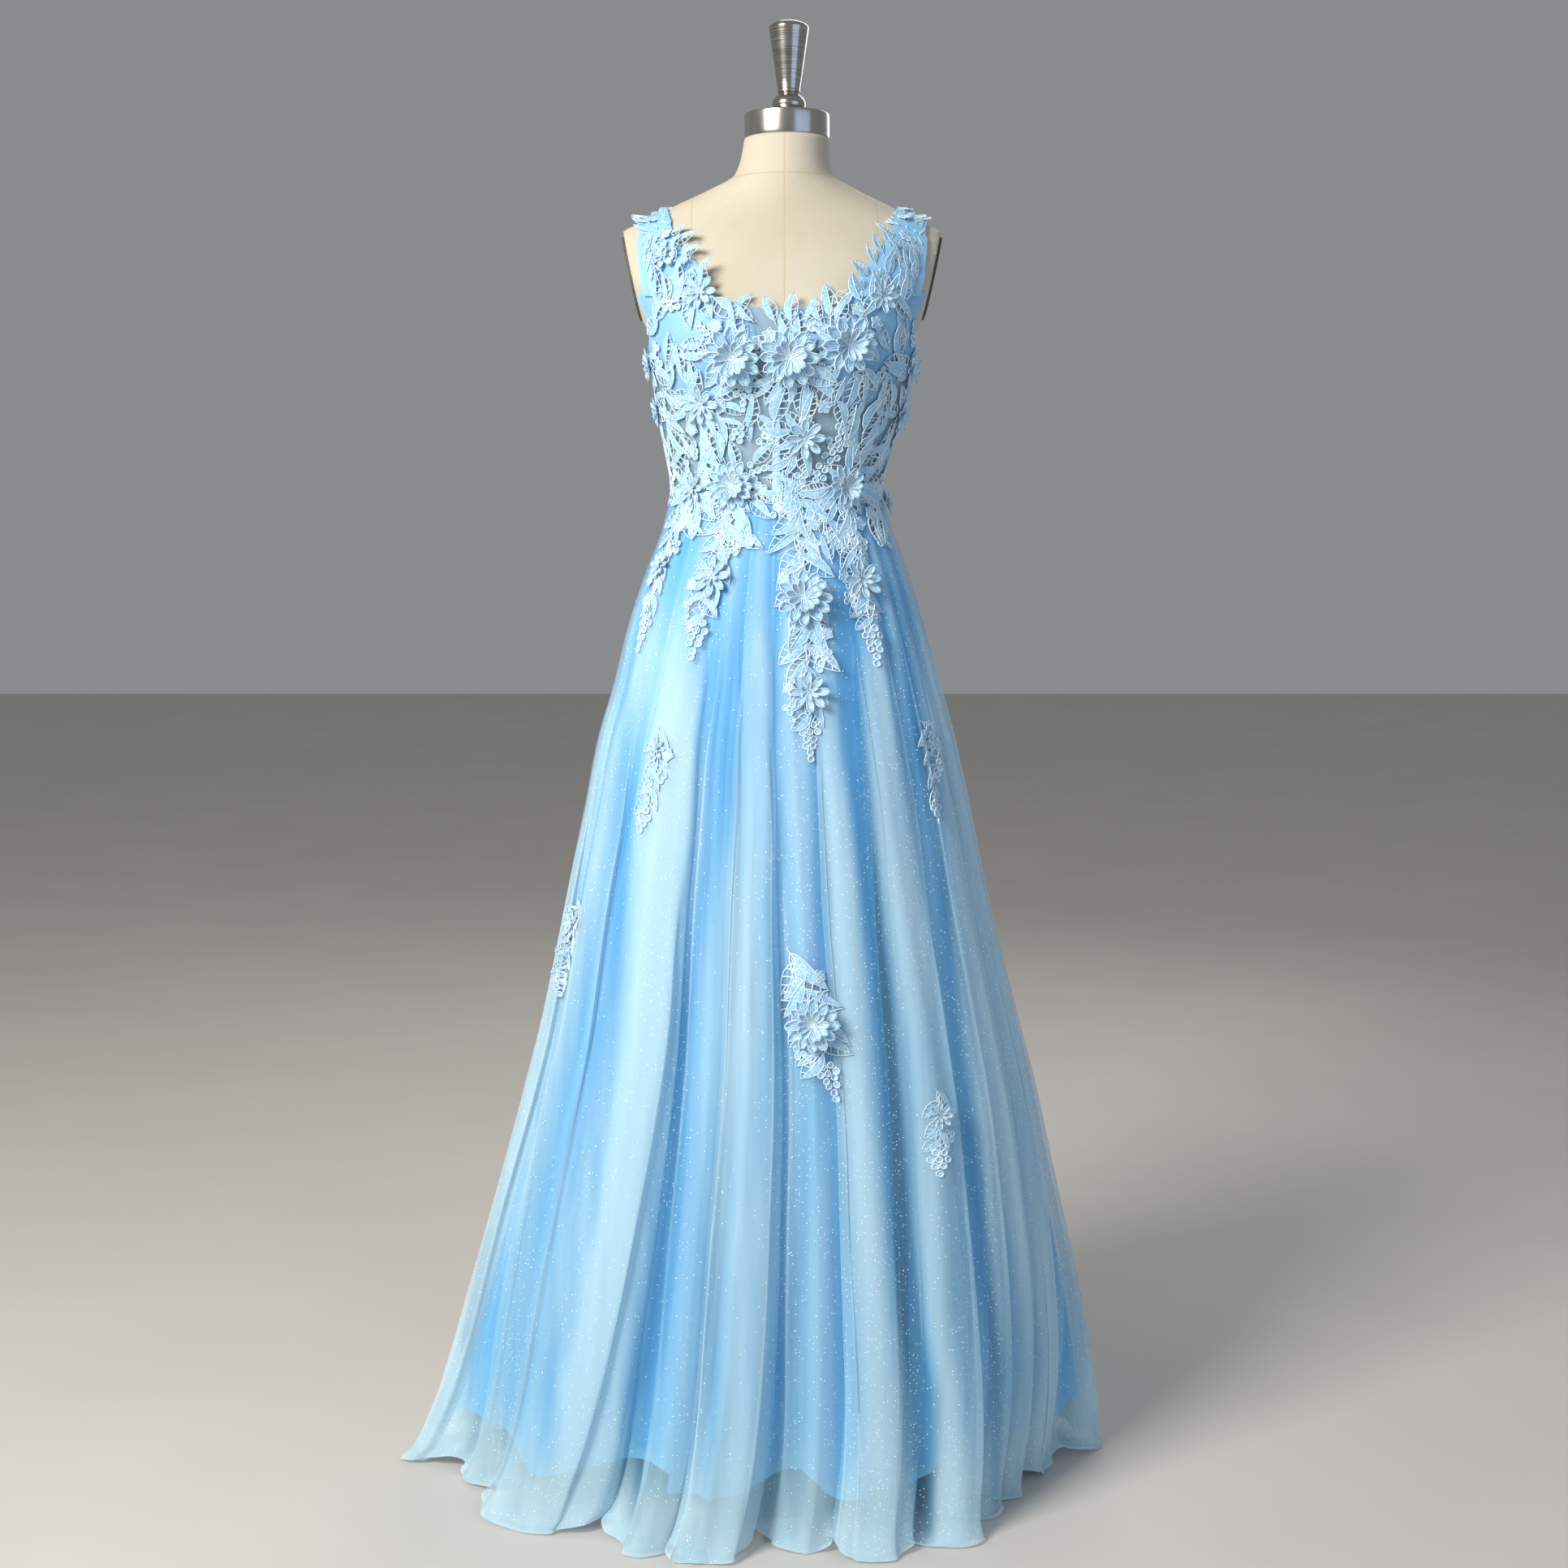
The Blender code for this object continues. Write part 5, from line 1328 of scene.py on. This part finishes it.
# leaves across a strap: place from the inner to the outer edge, lean outward and how far it strays from that
strapLeaves = [(-0.75, -28, 50), (-0.15, -6, 50), (0.36, 12, 44), (0.68, 2, 26)]
strapLace = {
    "rows": 20,
    "first": -2.0,                                   # degrees round the shoulder
    "last": 186.0,
    "leaf": (0.022, 0.030),
    "star": 0.0150,
    "seam": 1.381,                                   # height of the seam with the bodice
    "seamLeaves": (0.088, 0.100, 0.112, 0.124, 0.135),    # x of the leaves over it
    "seamLeaf": (0.031, 0.037),
}


def laceStrap(word, side, rng):
    shape = bmesh.new()
    for step in range(strapLace["rows"]):
        degrees = lerp(strapLace["first"], strapLace["last"], step / (strapLace["rows"] - 1))
        inner, outer = readTable(strapSections, degrees, 1), readTable(strapSections, degrees, 2)
        middle, wide = 0.5 * (inner + outer), 0.5 * (outer - inner)
        for swing, outwards, stray in strapLeaves:
            spot, out = strapSpot(side, degrees, shoulderX + side * (middle + swing * wide), 0.0008)
            lean = side * outwards + rng.choice((-1.0, 1.0)) * rng.uniform(5, stray)
            angle = 180.0 - lean if degrees > 90 else lean
            layFlat(shape, rng.choice(leaves), spot, out, angle, rng.uniform(*strapLace["leaf"]), 0.0, 0.05)
        if step % 2:
            x = shoulderX + side * (middle + rng.uniform(-0.8, 0.8) * wide)
            spot, out = strapSpot(side, degrees, x, 0.0022)
            layFlat(shape, star, spot, out, rng.uniform(0, 72), strapLace["star"], 0.0)
    for x in strapLace["seamLeaves"]:
        spot, out = seenSpot("front", side * x, strapLace["seam"])
        leaf, angle = rng.choice(leaves), rng.uniform(-26, 26)
        layFlat(shape, leaf, spot, out, angle, rng.uniform(*strapLace["seamLeaf"]), 0.0012)
    finishPiece("lace_strap_" + word, shape, [laceCord, laceFill])


laceStrap("left", -1.0, random.Random(20))
laceStrap("right", 1.0, random.Random(22))
print("strap lace made")


# Trails and sprays on the skirt

# name, side, x and z of the start and of the end, half width, flowers as share, radius and solid
sprays = [
    ("trail_left_outer", "front", -0.1140, 1.158, -0.1580, 1.006, 0.021,
     ((0.44, 0.016, "flower_trail_left_outer"),)),
    ("trail_left", "front", -0.0560, 1.158, -0.0970, 1.000, 0.025, ((0.50, 0.024, "flower_trail_left"),)),
    ("trail_centre", "front", 0.0180, 1.158, 0.0340, 0.866, 0.029,
     ((0.35, 0.032, "flower_trail_centre_upper"), (0.70, 0.023, "flower_trail_centre_lower"))),
    ("trail_right", "front", 0.0700, 1.158, 0.1060, 0.992, 0.024, ((0.50, 0.024, "flower_trail_right"),)),
    ("trail_back_left", "back", 0.0520, 1.158, 0.0700, 0.950, 0.024, ((0.45, 0.022, ""),)),
    ("trail_back_right", "back", -0.0520, 1.158, -0.0700, 0.950, 0.024, ((0.45, 0.022, ""),)),
    ("spray_left_upper", "front", -0.1320, 0.905, -0.1560, 0.802, 0.021, ((0.16, 0.014, ""),)),
    ("spray_right_upper", "front", 0.1640, 0.910, 0.1780, 0.810, 0.020, ((0.14, 0.016, ""),)),
    ("spray_left_lower", "front", -0.2350, 0.700, -0.2540, 0.596, 0.020, ((0.24, 0.017, ""),)),
    ("spray_centre_lower", "front", 0.0120, 0.665, 0.0580, 0.520, 0.031,
     ((0.50, 0.030, "flower_centre_lower"),)),
    ("spray_right_lower", "front", 0.1760, 0.505, 0.1770, 0.428, 0.018, ((0.28, 0.016, ""),)),
    ("spray_back_left", "back", 0.1300, 0.800, 0.1500, 0.700, 0.022, ((0.30, 0.017, ""),)),
    ("spray_back_right", "back", -0.1400, 0.560, -0.1600, 0.450, 0.024, ((0.35, 0.020, ""),)),
]


spray = {
    "spacing": 0.0250,    # from one pair of leaves to the next
    "bunch": 0.82,        # share of the length where the berries at the tip begin
    "star": 0.0155,
    "berry": 0.0080,
    "tipBerry": 0.0088,
    "stalk": 0.0007,
}


def turnAt(side, x, z):
    low, high = (-1.55, 1.55) if side == "front" else (math.pi + 1.55, math.pi - 1.55)
    return halve(low, high, 26, lambda middle: gownSpot(middle, z)[0].x < x)


# Pairs of leaves down a stalk, stars and berries beside it in turn, and a bunch of berries at its tip.
def laySpray(name, side, x0, z0, x1, z1, half, blooms, index):
    rng = random.Random(80 + index)
    shape = bmesh.new()
    start, end = turnAt(side, x0, z0), turnAt(side, x1, z1)
    around = radiusAt(0.5 * (start + end), 0.5 * (z0 + z1))
    run, fall = (end - start) * around, z1 - z0
    length = math.hypot(run, fall)
    heading = math.degrees(math.atan2(run, fall))
    steps = max(3, round(length / spray["spacing"]))
    for step in range(steps):
        share = step / steps * spray["bunch"]
        turn, z = lerp(start, end, share), lerp(z0, z1, share)
        taper = 1.0 - 0.35 * smooth01((share - 0.55) / 0.3)
        for swing in (-1.0, 1.0):
            off = rng.uniform(0.05, 0.22) * half * swing * taper / around
            leaf, angle = rng.choice(leaves), heading + swing * rng.uniform(24, 58)
            size = half * taper * rng.uniform(1.35, 1.60)
            layOn(shape, leaf, turn + off, z - 0.005 * swing, angle, size, rng.uniform(0.0006, 0.0020))
        hand = 1.0 if step % 2 else -1.0
        if step % 3 == 1:
            place = turn + hand * half * 0.80 * taper / around
            layOn(shape, star, place, z, rng.uniform(0, 72), spray["star"], 0.0018)
        if step % 3 == 2:
            place = turn - hand * half * 0.70 / around
            berries(shape, place, z, heading - hand * 20.0, rng.randint(4, 7), spray["berry"], rng)
    tipTurn, tipZ = lerp(start, end, spray["bunch"]), lerp(z0, z1, spray["bunch"])
    berries(shape, tipTurn, tipZ, heading, 11 if length > 0.12 else 8, spray["tipBerry"], rng)
    stem = [gownSpot(lerp(start, end, s / 12 * 0.9), lerp(z0, z1, s / 12 * 0.9)) for s in range(13)]
    shape.from_mesh(cordMesh([([spot + way * 0.0012 for spot, way in stem], False)], spray["stalk"]))
    finishPiece("lace_" + name, shape, [laceCord, laceFill], [name])
    for bloom, (share, radius, solid) in enumerate(blooms):
        turn, z = lerp(start, end, share), lerp(z0, z1, share)
        spot, way = gownSpot(turn, z)
        above, below = gownSpot(turn, z + radius)[0], gownSpot(turn, z - radius)[0]
        aside = gownSpot(turn + radius / around, z)[0] - gownSpot(turn - radius / around, z)[0]
        out = aside.cross(above - below).normalized()
        out = out if out.dot(way) > 0.0 else -out
        title = "bloom_%s_%d" % (name, bloom)
        seed = 200 + 7 * index + bloom
        makeFlower(title, spot + out * 0.001, out, radius, [solid] if solid else [], seed)


for index, row in enumerate(sprays):
    laySpray(*row, index)
print("skirt lace made")


# Floor, light and camera

studio = {
    "reach": 12.0,                     # half the floor's width
    "floor": ("#CDC9C2", "#D1CDC6"),
    "air": "#C1C4C6",
    "glow": 0.47,
}
floorShape = bmesh.new()
bmesh.ops.create_grid(floorShape, x_segments=1, y_segments=1, size=studio["reach"])
floorMesh = bpy.data.meshes.new("studio_floor")
floorShape.to_mesh(floorMesh)
floorShape.free()
floor = bpy.data.objects.new("studio_floor", floorMesh)
bpy.context.scene.collection.objects.link(floor)
floorLook, floorShader = newMaterial("floor_matt_paint", Roughness=0.8)
floorPlace = addNode(floorLook, "ShaderNodeTexCoord").outputs["Object"]
floorPatch = addNode(floorLook, "ShaderNodeTexNoise", inputs={
    "Vector": floorPlace, "Scale": 3.0, "Detail": 4.0})
floorShade = addNode(floorLook, "ShaderNodeValToRGB", inputs={"Fac": floorPatch.outputs["Fac"]},
                     stops=[(0.3, studio["floor"][0]), (0.7, studio["floor"][1])])
linkTo(floorLook, floorShader, Base_Color=floorShade.outputs["Color"])
floorMesh.materials.append(floorLook)

# place, where it points, size, watts, colour
lights = {
    "key": ((-2.0, -2.2, 2.6), (0.0, 0.0, 0.85), 1.3, 152.0, "#FFFAF4"),
    "fill": ((2.2, -2.4, 1.4), (0.0, 0.0, 0.8), 2.4, 18.0, "#B2D0FF"),
    "rim": ((0.8, 2.2, 2.4), (0.0, 0.0, 1.0), 1.8, 18.0, "#FFFFFF"),
}
for name, (place, target, size, watts, colour) in lights.items():
    lamp = bpy.data.lights.new(name, "AREA")
    lamp.size = size
    lamp.energy = watts
    lamp.color = srgb(colour)[:3]
    stand = bpy.data.objects.new(name, lamp)
    stand.location = place
    stand.rotation_euler = (Vector(target) - Vector(place)).to_track_quat("-Z", "Y").to_euler()
    bpy.context.scene.collection.objects.link(stand)

world = bpy.data.worlds.new("studio")
world.use_nodes = True
backdrop = world.node_tree.nodes["Background"]
backdrop.inputs["Color"].default_value = srgb(studio["air"])
backdrop.inputs["Strength"].default_value = studio["glow"]
bpy.context.scene.world = world
bpy.context.scene.view_settings.view_transform = "Standard"

photoView = {"lens": 48.45, "place": (0.004, -2.464, 1.134), "down": 6.93}    # down in degrees
lens = bpy.data.cameras.new("camera")
lens.lens = photoView["lens"]
lens.sensor_width = 36.0
camera = bpy.data.objects.new("camera", lens)
camera.location = photoView["place"]
camera.rotation_euler = (math.radians(90.0 - photoView["down"]), 0.0, 0.0)
bpy.context.scene.collection.objects.link(camera)
bpy.context.scene.camera = camera

print("scene made")
